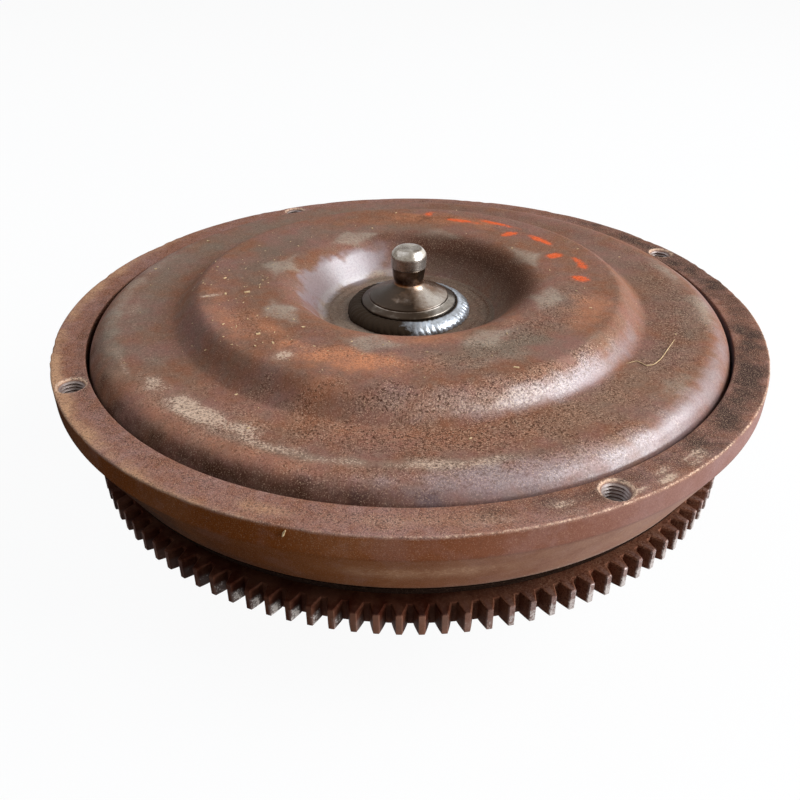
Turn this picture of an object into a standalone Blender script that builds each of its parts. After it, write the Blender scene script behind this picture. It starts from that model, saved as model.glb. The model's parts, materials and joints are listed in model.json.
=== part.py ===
"""Torque converter: a welded housing around a turbine, a stator with its one-way clutch and their bearings.

Units are metres and +Z is up along the spin axis. The origin is the middle of the drive neck's end face,
so the part stands on its neck with the pilot on top.
"""

from math import cos, pi, radians, sin, sqrt

import bmesh
import bpy

# Fits
SEAT_GAP = 0.0003
RUN_GAP = 0.0028

# Facets round the axis for large, middle and small pieces, and points along an arc of a section
LARGE_STEPS = 40
MIDDLE_STEPS = 30
SMALL_STEPS = 20
TINY_STEPS = 8
NEEDLE_FACETS = 6
ROUGH_ARC = 3
ARC = 4
FINE_ARC = 5
CORE_PATH_POINTS = 9
SHARP_ANGLE = radians(35.0)
MERGE_DISTANCE = 1e-6

# Drive neck and impeller hub
NECK_R = 0.0225
NECK_BORE_R = 0.0185
NECK_LENGTH = 0.045
NECK_CHAMFER = 0.001
NECK_SLOT_W = 0.010
NECK_SLOT_DEPTH = 0.012
HUB_FLANGE_W = 0.0235
HUB_FLANGE_T = 0.008
HUB_WELD_W = 0.005
HUB_WELD_H = 0.0022

# Needle thrust bearings
RACE_T = 0.0008
NEEDLE_R = 0.0009
NEEDLE_COUNT = 8
CAGE_T = 0.0008
BEARING_LAND_W = 0.0012

# Internal splines, as shares of the pitch
SPLINE_LAND = 0.40
SPLINE_SPACE = 0.30

# One-way clutch, from the bore outwards
RACE_BORE_R = 0.0164
RACE_SPLINE_H = 0.0014
RACE_SPLINES = 22
RACE_WALL = 0.0098
RACE_W = 0.020
ROLLER_R = 0.004
ROLLER_COUNT = 8
ROLLER_GAP = 0.0002
CAM_LAND_GAP = 0.0030
CAM_RISE = 0.0012
CAM_WALL = 0.0090
POCKET_NARROW = radians(9.0)
POCKET_WIDE = radians(21.0)
SPRING_T = 0.0004
SPRING_FOLDS = 6
SPRING_LEAN = radians(19.6)
SPRING_REACH = 0.0016
SPRING_W = 0.0095
PLATE_T = 0.0015
SNAP_RING_T = 0.0012
SNAP_RING_W = 0.0042
SNAP_GROOVE_DEPTH = 0.0015

# Stator wheel
STATOR_HUB_WALL = 0.0115
STATOR_HUB_LIP = 0.0008
STATOR_VANES = 11
STATOR_VANE_T = 0.0024
STATOR_VANE_SPAN = 0.023
STATOR_VANE_TURN = radians(16.0)
STATOR_VANE_STEPS = 2
STATOR_VANE_ROOT = 0.0029
STATOR_RIM_T = 0.0022
STATOR_RIM_W = 0.011

# Turbine
TURBINE_T = 0.002
TURBINE_BORE_R = 0.0116
TURBINE_SPLINE_H = 0.0014
TURBINE_SPLINES = 18
BARREL_WALL = 0.0130
BARREL_LENGTH = 0.020
FLANGE_T = 0.004
FLANGE_W = 0.024
FLANGE_DROP = 0.0111
FLANGE_ROOT = 0.0043
RIVET_COUNT = 8
RIVET_INSET = 0.0144
RIVET_R = 0.0025
RIVET_HEAD_R = 0.0042
RIVET_HEAD_H = 0.0016
TURBINE_VANES = 13
IMPELLER_VANES = 14
VANE_T = 0.0012
VANE_STEPS = 3
TURBINE_TURN = radians(26.0)
IMPELLER_TURN = radians(10.0)
CORE_R = 0.013
CORE_T = 0.0014
CORE_START = 4.0
CORE_END = 150.0
VANE_START = 5.0
TURBINE_EDGE = 1.5
MID_GAP = 0.0008
THRUST_WASHER_T = 0.003
THRUST_WASHER_W = 0.0085

# Front cover, measured from the mounting ring's top face where a height is meant
COVER_R = 0.1434
COVER_T = 0.004
COVER_DEPTH = 0.040
SHOULDER_R = 0.013
PLATEAU_Z = 0.0061
CROWN_Z = 0.016
CROWN_W = 0.0328
CROWN_SLOPE_W = 0.0145
DISH_R = 0.0403
DISH_WALL_W = 0.0209
DISH_BEND_R = 0.016
DISH_TILT = 50.0
DISH_Z = 0.0

# Pilot boss
PIN_R = 0.0081
PIN_EDGE = 0.0024
PIN_WAIST_R = 0.0064
PIN_TOP_Z = 0.0310
PIN_STEP_Z = 0.0215
PIN_WAIST_Z = 0.0144
PIN_FILLET = 0.003
PIN_FILLET_TURN = 60.0
CONE_R = 0.0182
CONE_Z = 0.0081
DISC_RIM_W = 0.0037
DISC_RIM_Z = 0.0058
SPIGOT_R = 0.012
PILOT_WELD_W = 0.0063
PILOT_WELD_H = 0.0045

# Mounting ring
GROOVE_W = 0.0022
GROOVE_DEPTH = 0.009
RING_W = 0.0144
RING_RIM_H = 0.010
RING_H = 0.0362
RING_FOOT_W = 0.0024
RING_EDGE = 0.0006
HOLE_COUNT = 4
HOLE_R = 0.005
HOLE_RIM = 0.001
HOLE_DEPTH = 0.012
HOLE_START = radians(26.3)
RING_WELD_LEG = 0.0021

# Impeller shell and starter ring gear
SHELL_T = 0.004
SHELL_LAP = 0.010
CLOSURE_WELD_LEG = 0.0034
SHOULDER_DROP = 0.0027
TORUS_STEP = 0.002
TURBINE_ROOM = 0.004
GEAR_MODULE = 0.00256
GEAR_START = radians(-0.4)
GEAR_DEDENDUM = 1.25 * GEAR_MODULE
GEAR_TIP_SHARE = 0.24
GEAR_ROOT_SHARE = 0.72
GEAR_RIM_W = 0.0080
GEAR_W = 0.0098

# Radii worked out from the sizes above
RACE_R = RACE_BORE_R + RACE_SPLINE_H + RACE_WALL
ROLLER_PITCH_R = RACE_R + ROLLER_GAP + ROLLER_R
CAM_ROOF_R = ROLLER_PITCH_R + ROLLER_R + SEAT_GAP
CAM_R = CAM_ROOF_R + CAM_RISE + CAM_WALL
STATOR_BORE_R = CAM_R + SEAT_GAP
STATOR_HUB_R = STATOR_BORE_R + STATOR_HUB_WALL
STATOR_RIM_R = STATOR_HUB_R + STATOR_VANE_SPAN
HUB_FLANGE_R = NECK_R + HUB_FLANGE_W
BARREL_R = TURBINE_BORE_R + TURBINE_SPLINE_H + BARREL_WALL
FLANGE_R = BARREL_R + FLANGE_W
RIVET_PITCH_R = BARREL_R + RIVET_INSET
SHELL_R = COVER_R - COVER_T - SEAT_GAP
GEAR_SEAT_R = SHELL_R - TURBINE_T - RUN_GAP
TORUS_OUT_R = GEAR_SEAT_R - SHELL_T
TORUS_IN_R = STATOR_HUB_R + TORUS_STEP
TORUS_R = (TORUS_OUT_R + TORUS_IN_R) / 2
RING_BORE_R = COVER_R + GROOVE_W
RING_R = RING_BORE_R + RING_W
HOLE_CIRCLE_R = RING_BORE_R + RING_W / 2
DISC_R = CONE_R + DISC_RIM_W
CROWN_IN_R = DISH_R + DISH_WALL_W
CROWN_OUT_R = CROWN_IN_R + CROWN_W
GEAR_TEETH = round(2 * (GEAR_SEAT_R + SEAT_GAP + GEAR_RIM_W + GEAR_DEDENDUM) / GEAR_MODULE)
BEARING_IN_R = RACE_BORE_R + RACE_SPLINE_H + BEARING_LAND_W
BEARING_OUT_R = RACE_R - BEARING_LAND_W

# Heights worked out from the neck's end face upwards
HUB_BACK_Z = NECK_LENGTH
HUB_FRONT_Z = HUB_BACK_Z + HUB_FLANGE_T
BEARING_H = 2 * RACE_T + 2 * NEEDLE_R + 4 * SEAT_GAP
RACE_BACK_Z = HUB_FRONT_Z + BEARING_H
RACE_FRONT_Z = RACE_BACK_Z + RACE_W
MID_Z = (RACE_BACK_Z + RACE_FRONT_Z) / 2
BARREL_BACK_Z = RACE_FRONT_Z + BEARING_H
BARREL_FRONT_Z = BARREL_BACK_Z + BARREL_LENGTH
WASHER_FRONT_Z = BARREL_FRONT_Z + SEAT_GAP + THRUST_WASHER_T
COVER_INNER_Z = WASHER_FRONT_Z + SEAT_GAP
RING_TOP_Z = COVER_INNER_Z + COVER_T - DISH_Z
COVER_EDGE_Z = RING_TOP_Z - COVER_DEPTH
FLANGE_BACK_Z = BARREL_FRONT_Z - FLANGE_DROP - FLANGE_T
TURBINE_FLAT_Z = FLANGE_BACK_Z - SEAT_GAP
TURBINE_FRONT_Z = RING_TOP_Z + PLATEAU_Z - COVER_T - TURBINE_ROOM
TORUS_H = TURBINE_FRONT_Z - TURBINE_T - MID_Z
SHELL_BACK_Z = MID_Z - TORUS_H - SHELL_T
SHOULDER_Z = COVER_EDGE_Z - SEAT_GAP - CLOSURE_WELD_LEG - SEAT_GAP
GEAR_TOP_Z = SHOULDER_Z - SHOULDER_DROP - SEAT_GAP
GEAR_BOTTOM_Z = GEAR_TOP_Z - GEAR_W

PARTS = "torque_converter"
CUTTERS = "cutters"


def clear_scene():
    """Remove every object, so that the model starts from an empty scene."""
    for obj in list(bpy.data.objects):
        bpy.data.objects.remove(obj, do_unlink=True)


def new_collection(name):
    """Make a collection in the scene."""
    collection = bpy.data.collections.new(name)
    bpy.context.scene.collection.children.link(collection)
    return collection


def new_material(name, colour, roughness, metallic):
    """Make a Principled material."""
    material = bpy.data.materials.new(name)
    material.use_nodes = True
    shader = material.node_tree.nodes["Principled BSDF"]
    shader.inputs["Base Color"].default_value = (*colour, 1.0)
    shader.inputs["Roughness"].default_value = roughness
    shader.inputs["Metallic"].default_value = metallic
    return material


def add_object(name, data, material=None, body=None):
    """Link a piece into the parts collection, under its body's empty."""
    obj = bpy.data.objects.new(name, data)
    bpy.data.collections[PARTS].objects.link(obj)
    if material:
        data.materials.append(material)
    obj.parent = body
    return obj


def claim_primitive(name, material=None, body=None):
    """Move the primitive just added into the parts collection, under its body's empty."""
    obj = bpy.context.object
    obj.name = name
    for collection in list(obj.users_collection):
        collection.objects.unlink(obj)
    bpy.data.collections[PARTS].objects.link(obj)
    if material:
        obj.data.materials.append(material)
    obj.parent = body
    return obj


def new_body(name):
    """Make the empty that carries the pieces of one moving body, on the spin axis."""
    return add_object(name, None)


def settle(obj):
    """Bake a piece's modifiers, or its curve, into a mesh that is shaded smooth up to its sharp edges."""
    bpy.context.view_layer.update()
    graph = bpy.context.evaluated_depsgraph_get()
    mesh = bpy.data.meshes.new_from_object(obj.evaluated_get(graph), depsgraph=graph)
    welded = bmesh.new()
    welded.from_mesh(mesh)
    bmesh.ops.remove_doubles(welded, verts=welded.verts, dist=MERGE_DISTANCE)
    if obj.type == "CURVE":
        bmesh.ops.recalc_face_normals(welded, faces=welded.faces)
    welded.to_mesh(mesh)
    welded.free()
    mesh.shade_smooth()
    mesh.set_sharp_from_angle(angle=SHARP_ANGLE)
    if obj.type == "MESH":
        obj.modifiers.clear()
        obj.data = mesh
        return obj
    piece = bpy.data.objects.new("settled", mesh)
    bpy.data.collections[PARTS].objects.link(piece)
    piece.parent = obj.parent
    piece.matrix_world = obj.matrix_world.copy()
    name = obj.name
    bpy.data.objects.remove(obj, do_unlink=True)
    piece.name = name
    return piece


def as_cutter(obj):
    """Move an object to the cutters, drawn as wire and left out of the part."""
    bpy.data.collections[PARTS].objects.unlink(obj)
    bpy.data.collections[CUTTERS].objects.link(obj)
    obj.hide_render = True
    obj.display_type = "WIRE"
    return obj


def combine(obj, other, operation):
    """Cut another mesh out of a piece, or join it to the piece, and settle the result."""
    boolean = obj.modifiers.new("Combine", "BOOLEAN")
    boolean.operation = operation
    boolean.solver = "EXACT"
    boolean.object = other
    settle(obj)
    return obj


def turned(name, profile, steps, material, body, closed=True, wall=0.0):
    """Turn a profile of (radius, height) points about Z. With a wall, it is the outside of a shell."""
    count = len(profile)
    edges = [(i, i + 1) for i in range(count - 1)]
    if closed:
        edges.append((count - 1, 0))
    mesh = bpy.data.meshes.new(name)
    mesh.from_pydata([(r, 0.0, z) for r, z in profile], edges, [])
    obj = add_object(name, mesh, material, body)
    screw = obj.modifiers.new("Turn", "SCREW")
    screw.axis = "Z"
    screw.steps = steps
    screw.render_steps = steps
    screw.use_merge_vertices = True
    screw.merge_threshold = MERGE_DISTANCE
    if wall:
        solid = obj.modifiers.new("Wall", "SOLIDIFY")
        solid.thickness = wall
        solid.offset = -1.0
        solid.use_even_offset = True
    return settle(obj)


def washer(name, inner, outer, bottom, thickness, steps, material, body):
    """Turn a plain flat ring."""
    top = bottom + thickness
    profile = [(inner, top), (outer, top), (outer, bottom), (inner, bottom)]
    return turned(name, profile, steps, material, body)


def plate(name, outlines, bottom, thickness, material, body):
    """Extrude closed outlines of (x, y) points upwards. An outline inside another is a hole."""
    curve = bpy.data.curves.new(name, "CURVE")
    curve.dimensions = "2D"
    curve.fill_mode = "BOTH"
    curve.extrude = thickness / 2
    for outline in outlines:
        spline = curve.splines.new("POLY")
        spline.points.add(len(outline) - 1)
        for point, (x, y) in zip(spline.points, outline):
            point.co = (x, y, 0.0, 1.0)
        spline.use_cyclic_u = True
    obj = add_object(name, curve, material, body)
    obj.location.z = bottom + thickness / 2
    return settle(obj)


def polar(radius, angle):
    """Give the (x, y) point at a radius and an angle."""
    return (radius * cos(angle), radius * sin(angle))


def ring_outline(radius, steps):
    """Give a circle as an outline."""
    return [polar(radius, 2 * pi * i / steps) for i in range(steps)]


def spline_outline(minor, height, count):
    """Give an internal spline's outline: lands at the minor radius and grooves one spline height deeper."""
    major = minor + height
    flank = (1.0 - SPLINE_LAND - SPLINE_SPACE) / 2
    corners = (
        (0.0, minor),
        (SPLINE_LAND, minor),
        (SPLINE_LAND + flank, major),
        (1.0 - flank, major),
    )
    points = []
    for i in range(count):
        for share, radius in corners:
            points.append(polar(radius, 2 * pi * (i + share) / count))
    return points


def elliptic(centre, half_width, half_height, start, end, count):
    """Give (radius, height) points along an elliptic arc, its ends included. Angles are in degrees."""
    points = []
    for i in range(count):
        angle = radians(start + (end - start) * i / (count - 1))
        points.append((centre[0] + half_width * cos(angle), centre[1] + half_height * sin(angle)))
    return points


def ogee(start, end, count):
    """Give (radius, height) points down a cosine slope between two flats, its ends included."""
    points = []
    for i in range(count):
        share = i / (count - 1)
        height = end[1] + (start[1] - end[1]) * (1 + cos(pi * share)) / 2
        points.append((start[0] + (end[0] - start[0]) * share, height))
    return points


def fillet_bead(name, radius, top, leg, material, body):
    """Turn a weld bead in a corner: one leg along the top, one down the wall at the radius."""
    profile = [(radius, top)] + elliptic((radius, top), leg, leg, 0.0, -90.0, ROUGH_ARC)
    turned(name, profile, LARGE_STEPS, material, body)


def front_cover(material, body):
    """Press the cover: dish floor, dish wall, crown, crown slope, plateau, shoulder and outer wall."""
    top = RING_TOP_Z
    profile = [(SPIGOT_R + SEAT_GAP, top + DISH_Z), (DISH_R, top + DISH_Z)]
    bend = (CROWN_IN_R, top + CROWN_Z - DISH_BEND_R)
    profile += elliptic(bend, DISH_BEND_R, DISH_BEND_R, 90.0 + DISH_TILT, 90.0, ARC)
    foot = (CROWN_OUT_R + CROWN_SLOPE_W, top + PLATEAU_Z)
    profile += ogee((CROWN_OUT_R, top + CROWN_Z), foot, FINE_ARC)
    shoulder = (COVER_R - SHOULDER_R, top + PLATEAU_Z - SHOULDER_R)
    profile += elliptic(shoulder, SHOULDER_R, SHOULDER_R, 90.0, 0.0, FINE_ARC)
    profile.append((COVER_R, COVER_EDGE_Z))
    turned("front_cover", profile, LARGE_STEPS, material, body, closed=False, wall=COVER_T)


def pilot_boss(material, body):
    """Turn the pilot: rounded pin, waist, flared cone, disc and the spigot that sits in the cover."""
    top = RING_TOP_Z
    floor = top + DISH_Z + SEAT_GAP
    centre = (PIN_WAIST_R + PIN_FILLET, top + PIN_WAIST_Z)
    fillet = elliptic(centre, PIN_FILLET, PIN_FILLET, 180.0, 180.0 + PIN_FILLET_TURN, ROUGH_ARC)
    profile = [
        (0.0, top + PIN_TOP_Z),
        (PIN_R - PIN_EDGE, top + PIN_TOP_Z),
        (PIN_R, top + PIN_TOP_Z - PIN_EDGE),
        (PIN_R, top + PIN_STEP_Z),
        *fillet,
        (CONE_R, top + CONE_Z),
        (DISC_R, top + DISC_RIM_Z),
        (DISC_R, floor),
        (SPIGOT_R, floor),
        (SPIGOT_R, top + DISH_Z - COVER_T),
        (0.0, top + DISH_Z - COVER_T),
    ]
    turned("pilot_boss", profile, SMALL_STEPS, material, body, closed=False)


def pilot_weld(material, body):
    """Turn the fat bead that joins the boss's disc to the dish floor."""
    inner = DISC_R + SEAT_GAP
    floor = RING_TOP_Z + DISH_Z + SEAT_GAP
    profile = elliptic((inner, floor), PILOT_WELD_W, PILOT_WELD_H, 90.0, 0.0, FINE_ARC)
    profile.append((inner, floor))
    turned("pilot_weld_bead", profile, SMALL_STEPS, material, body)


def mounting_ring(material, body):
    """Turn the coned ring with its relief groove, and sink the four holes for the drive plate's screws."""
    top = RING_TOP_Z
    seat = COVER_R + SEAT_GAP
    profile = [
        (RING_BORE_R, top),
        (RING_R - RING_EDGE, top),
        (RING_R, top - RING_EDGE),
        (RING_R, top - RING_RIM_H),
        (COVER_R + RING_FOOT_W, top - RING_H),
        (seat, top - RING_H),
        (seat, top - GROOVE_DEPTH),
        (RING_BORE_R, top - GROOVE_DEPTH),
    ]
    ring = turned("mounting_ring", profile, LARGE_STEPS, material, body)
    drill = [
        (0.0, top + HOLE_RIM),
        (HOLE_R + 2 * HOLE_RIM, top + HOLE_RIM),
        (HOLE_R, top - HOLE_RIM),
        (HOLE_R, top - HOLE_DEPTH),
        (0.0, top - HOLE_DEPTH),
    ]
    for i in range(HOLE_COUNT):
        cutter = turned(f"hole_cutter_{i + 1}", drill, TINY_STEPS, material, None, closed=False)
        x, y = polar(HOLE_CIRCLE_R, HOLE_START + 2 * pi * i / HOLE_COUNT)
        cutter.location = (x, y, 0.0)
        combine(ring, as_cutter(cutter), "DIFFERENCE")


def ring_gear(material, body):
    """Extrude the starter ring gear, with straight-sided teeth on a plain bore."""
    pitch = GEAR_TEETH * GEAR_MODULE / 2
    tip = pitch + GEAR_MODULE
    root = pitch - GEAR_DEDENDUM
    corners = (
        (-GEAR_ROOT_SHARE / 2, root),
        (-GEAR_TIP_SHARE / 2, tip),
        (GEAR_TIP_SHARE / 2, tip),
        (GEAR_ROOT_SHARE / 2, root),
    )
    teeth = []
    for i in range(GEAR_TEETH):
        for share, radius in corners:
            teeth.append(polar(radius, GEAR_START + 2 * pi * (i + share) / GEAR_TEETH))
    bore = ring_outline(GEAR_SEAT_R + SEAT_GAP, LARGE_STEPS)
    plate("ring_gear", [teeth, bore], GEAR_BOTTOM_Z, GEAR_W, material, body)


def impeller_section(inset):
    """Give the impeller shell's outside below the gear, moved into the torus by an inset."""
    bowl_z = GEAR_BOTTOM_Z - SEAT_GAP
    bowl_w = GEAR_SEAT_R - TORUS_R - inset
    outer = elliptic((TORUS_R, bowl_z), bowl_w, bowl_z - SHELL_BACK_Z - inset, 0.0, -90.0, ARC)
    reach = TORUS_R - TORUS_IN_R + SHELL_T - inset
    inner = elliptic((TORUS_R, HUB_BACK_Z + inset), reach, HUB_BACK_Z - SHELL_BACK_Z, -90.0, -180.0, ARC)
    return outer + inner[1:]


def impeller_shell(material, body):
    """Press the rear shell: lapped rim, gear seat, torus and the flat round the hub."""
    profile = [
        (SHELL_R, COVER_EDGE_Z + SHELL_LAP),
        (SHELL_R, SHOULDER_Z),
        (GEAR_SEAT_R, SHOULDER_Z - SHOULDER_DROP),
        *impeller_section(0.0),
        (HUB_FLANGE_R + SEAT_GAP, HUB_BACK_Z),
    ]
    turned("impeller_shell", profile, LARGE_STEPS, material, body, closed=False, wall=SHELL_T)


def along(path, share):
    """Give the point at a share of the way along a path of (radius, height) points."""
    lengths = []
    for (r0, z0), (r1, z1) in zip(path, path[1:]):
        lengths.append(sqrt((r1 - r0) ** 2 + (z1 - z0) ** 2))
    left = share * sum(lengths)
    for start, end, length in zip(path, path[1:], lengths):
        if left <= length:
            part = left / length
            return tuple(a + (b - a) * part for a, b in zip(start, end))
        left -= length
    return path[-1]


def vane_sheets(name, vanes, thickness, material):
    """Thicken a ring of curved vanes, each given as rows of a point on one edge and a point on the other."""
    points = []
    faces = []
    for rows in vanes:
        first = len(points)
        for row in rows:
            points.extend(row)
        for j in range(len(rows) - 1):
            a = first + 2 * j
            faces.append((a, a + 1, a + 3, a + 2))
    mesh = bpy.data.meshes.new(name)
    mesh.from_pydata(points, [], faces)
    sheets = add_object(name, mesh, material)
    solid = sheets.modifiers.new("Wall", "SOLIDIFY")
    solid.thickness = thickness
    solid.offset = 0.0
    return as_cutter(settle(sheets))


def vane_wheel(name, shell_path, core_path, count, turn, core_profile, material, body):
    """Loft curved vanes between a shell path and a core path, and join them to their core ring."""
    vanes = []
    for i in range(count):
        rows = []
        for j in range(VANE_STEPS + 1):
            share = j / VANE_STEPS
            angle = 2 * pi * i / count + turn * share * share
            edges = [along(path, share) for path in (core_path, shell_path)]
            rows.append([(*polar(r, angle), z) for r, z in edges])
        vanes.append(rows)
    sheets = vane_sheets(f"{name}_sheets", vanes, VANE_T, material)
    wheel = turned(name, core_profile, SMALL_STEPS, material, body)
    combine(wheel, sheets, "UNION")


def core_ring(start, end):
    """Give the section of a core ring: a thin arc between two angles in degrees."""
    centre = (TORUS_R, MID_Z)
    outside = elliptic(centre, CORE_R, CORE_R, start, end, ROUGH_ARC)
    inside = elliptic(centre, CORE_R - CORE_T, CORE_R - CORE_T, end, start, ROUGH_ARC)
    return outside + inside


def core_path(start, end):
    """Give the path along the middle of a core ring's wall, between two angles in degrees."""
    radius = CORE_R - CORE_T / 2
    return elliptic((TORUS_R, MID_Z), radius, radius, start, end, CORE_PATH_POINTS)


def impeller_vanes(material, body):
    """Set the impeller's vanes just inside its shell, round the lower core ring."""
    inset = SHELL_T + SEAT_GAP + VANE_T / 2
    section = impeller_section(inset)
    shell_path = [(section[0][0], MID_Z - MID_GAP), *section[:-1]]
    path = core_path(-VANE_START, -CORE_END)
    profile = core_ring(-CORE_START, -CORE_END)[::-1]
    vane_wheel("impeller_vanes", shell_path, path, IMPELLER_VANES, IMPELLER_TURN, profile, material, body)


def impeller_hub(material, body):
    """Turn the hub's flange and drive neck, and mill the two drive slots across the neck's end."""
    profile = [
        (NECK_BORE_R, HUB_FRONT_Z),
        (HUB_FLANGE_R, HUB_FRONT_Z),
        (HUB_FLANGE_R, HUB_BACK_Z),
        (NECK_R, HUB_BACK_Z),
        (NECK_R, NECK_CHAMFER),
        (NECK_R - NECK_CHAMFER, 0.0),
        (NECK_BORE_R, 0.0),
    ]
    hub = turned("impeller_hub", profile, MIDDLE_STEPS, material, body)
    bpy.ops.mesh.primitive_cube_add(size=1.0)
    cutter = claim_primitive("drive_slot_cutter")
    cutter.scale = (NECK_SLOT_W, 4 * NECK_R, 2 * NECK_SLOT_DEPTH)
    combine(hub, as_cutter(cutter), "DIFFERENCE")


def hub_weld(material, body):
    """Turn the bead over the seam between the shell and the hub's flange."""
    seam = HUB_FLANGE_R + SEAT_GAP / 2
    top = HUB_BACK_Z - SEAT_GAP
    profile = elliptic((seam, top), HUB_WELD_W / 2, HUB_WELD_H, 0.0, -180.0, ARC)
    turned("hub_weld_bead", profile, MIDDLE_STEPS, material, body)


def needle_cage(name, bottom, material, body):
    """Make a thrust bearing's cage with its needles joined into it."""
    middle = bottom + NEEDLE_R
    low = middle - CAGE_T / 2
    cage = washer(name, BEARING_IN_R, BEARING_OUT_R, low, CAGE_T, SMALL_STEPS, material, body)
    length = BEARING_OUT_R - BEARING_IN_R - 2 * BEARING_LAND_W
    for i in range(NEEDLE_COUNT):
        angle = 2 * pi * i / NEEDLE_COUNT
        bpy.ops.mesh.primitive_cylinder_add(vertices=NEEDLE_FACETS, radius=NEEDLE_R, depth=length)
        needle = claim_primitive(f"{name}_needle_{i + 1}")
        x, y = polar((BEARING_IN_R + BEARING_OUT_R) / 2, angle)
        needle.location = (x, y, middle)
        needle.rotation_euler = (0.0, pi / 2, angle)
        combine(cage, as_cutter(needle), "UNION")


def thrust_bearing(name, bottom, lower_body, cage_body, upper_body, race_steel, cage_steel):
    """Stack a bearing from its seat upwards: lower race, needle cage, upper race."""
    lower = bottom + SEAT_GAP
    cage = lower + RACE_T + SEAT_GAP
    upper = cage + 2 * NEEDLE_R + SEAT_GAP
    sizes = (BEARING_IN_R, BEARING_OUT_R)
    washer(f"{name}_bearing_lower_race", *sizes, lower, RACE_T, SMALL_STEPS, race_steel, lower_body)
    needle_cage(f"{name}_bearing_cage", cage, cage_steel, cage_body)
    washer(f"{name}_bearing_upper_race", *sizes, upper, RACE_T, SMALL_STEPS, race_steel, upper_body)


def thrust_washer(material, body):
    """Turn the plain washer between the turbine hub's front face and the cover."""
    outer = BARREL_R - SEAT_GAP
    inner = outer - THRUST_WASHER_W
    low = BARREL_FRONT_Z + SEAT_GAP
    washer("front_thrust_washer", inner, outer, low, THRUST_WASHER_T, SMALL_STEPS, material, body)


def turbine_section(inset):
    """Give the turbine shell's front surface from its flat outwards, moved into the torus by an inset."""
    flat = TURBINE_FLAT_Z - inset
    reach = TORUS_R - TORUS_IN_R - inset
    inner = elliptic((TORUS_R, flat), reach, TURBINE_FRONT_Z - TURBINE_FLAT_Z, 180.0, 90.0, ARC)
    width = TORUS_OUT_R + TURBINE_T - TORUS_R - inset
    height = TURBINE_FRONT_Z - MID_Z - inset
    outer = elliptic((TORUS_R, MID_Z), width, height, 90.0, TURBINE_EDGE, FINE_ARC)
    return inner + outer[1:]


def rivet_holes(name):
    """Make the cutter for the turbine's ring of rivet holes."""
    height = 4 * (FLANGE_T + TURBINE_T)
    radius = RIVET_R + SEAT_GAP
    holes = bmesh.new()
    for i in range(RIVET_COUNT):
        made = bmesh.ops.create_cone(
            holes, cap_ends=True, segments=TINY_STEPS, radius1=radius, radius2=radius, depth=height
        )
        x, y = polar(RIVET_PITCH_R, 2 * pi * i / RIVET_COUNT)
        bmesh.ops.translate(holes, verts=made["verts"], vec=(x, y, FLANGE_BACK_Z))
    mesh = bpy.data.meshes.new(name)
    holes.to_mesh(mesh)
    holes.free()
    return as_cutter(add_object(name, mesh))


def turbine_shell(material, body):
    """Press the turbine's shell: flat round the hub, then the torus out to its rim."""
    profile = [(BARREL_R + SEAT_GAP, TURBINE_FLAT_Z), *turbine_section(0.0)]
    shell = turned("turbine_shell", profile, MIDDLE_STEPS, material, body, closed=False, wall=TURBINE_T)
    combine(shell, rivet_holes("shell_rivet_cutter"), "DIFFERENCE")


def turbine_vanes(material, body):
    """Set the turbine's vanes just inside its shell, round the upper core ring."""
    inset = TURBINE_T + SEAT_GAP + VANE_T / 2
    shell_path = turbine_section(inset)[1:][::-1]
    path = core_path(VANE_START, CORE_END)
    profile = core_ring(CORE_START, CORE_END)[::-1]
    vane_wheel("turbine_vanes", shell_path, path, TURBINE_VANES, -TURBINE_TURN, profile, material, body)


def turbine_hub(material, body):
    """Extrude the splined barrel, join the flange to it and drill the flange for the rivets."""
    bore = spline_outline(TURBINE_BORE_R, TURBINE_SPLINE_H, TURBINE_SPLINES)
    outlines = [ring_outline(BARREL_R, MIDDLE_STEPS), bore]
    hub = plate("turbine_hub", outlines, BARREL_BACK_Z, BARREL_LENGTH, material, body)
    inside = BARREL_R - FLANGE_ROOT
    flange = washer("hub_flange", inside, FLANGE_R, FLANGE_BACK_Z, FLANGE_T, MIDDLE_STEPS, material, None)
    combine(hub, as_cutter(flange), "UNION")
    combine(hub, rivet_holes("flange_rivet_cutter"), "DIFFERENCE")


def turbine_rivets(material, body):
    """Turn the rivets that clamp the turbine's shell to its hub flange."""
    front = FLANGE_BACK_Z + FLANGE_T + SEAT_GAP
    back = TURBINE_FLAT_Z - TURBINE_T - SEAT_GAP
    profile = [
        (0.0, front + RIVET_HEAD_H),
        (RIVET_HEAD_R, front),
        (RIVET_R, front),
        (RIVET_R, back),
        (RIVET_HEAD_R, back),
        (0.0, back - RIVET_HEAD_H),
    ]
    for i in range(RIVET_COUNT):
        rivet = turned(f"turbine_rivet_{i + 1}", profile, TINY_STEPS, material, body, closed=False)
        x, y = polar(RIVET_PITCH_R, 2 * pi * i / RIVET_COUNT)
        rivet.location = (x, y, 0.0)


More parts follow.
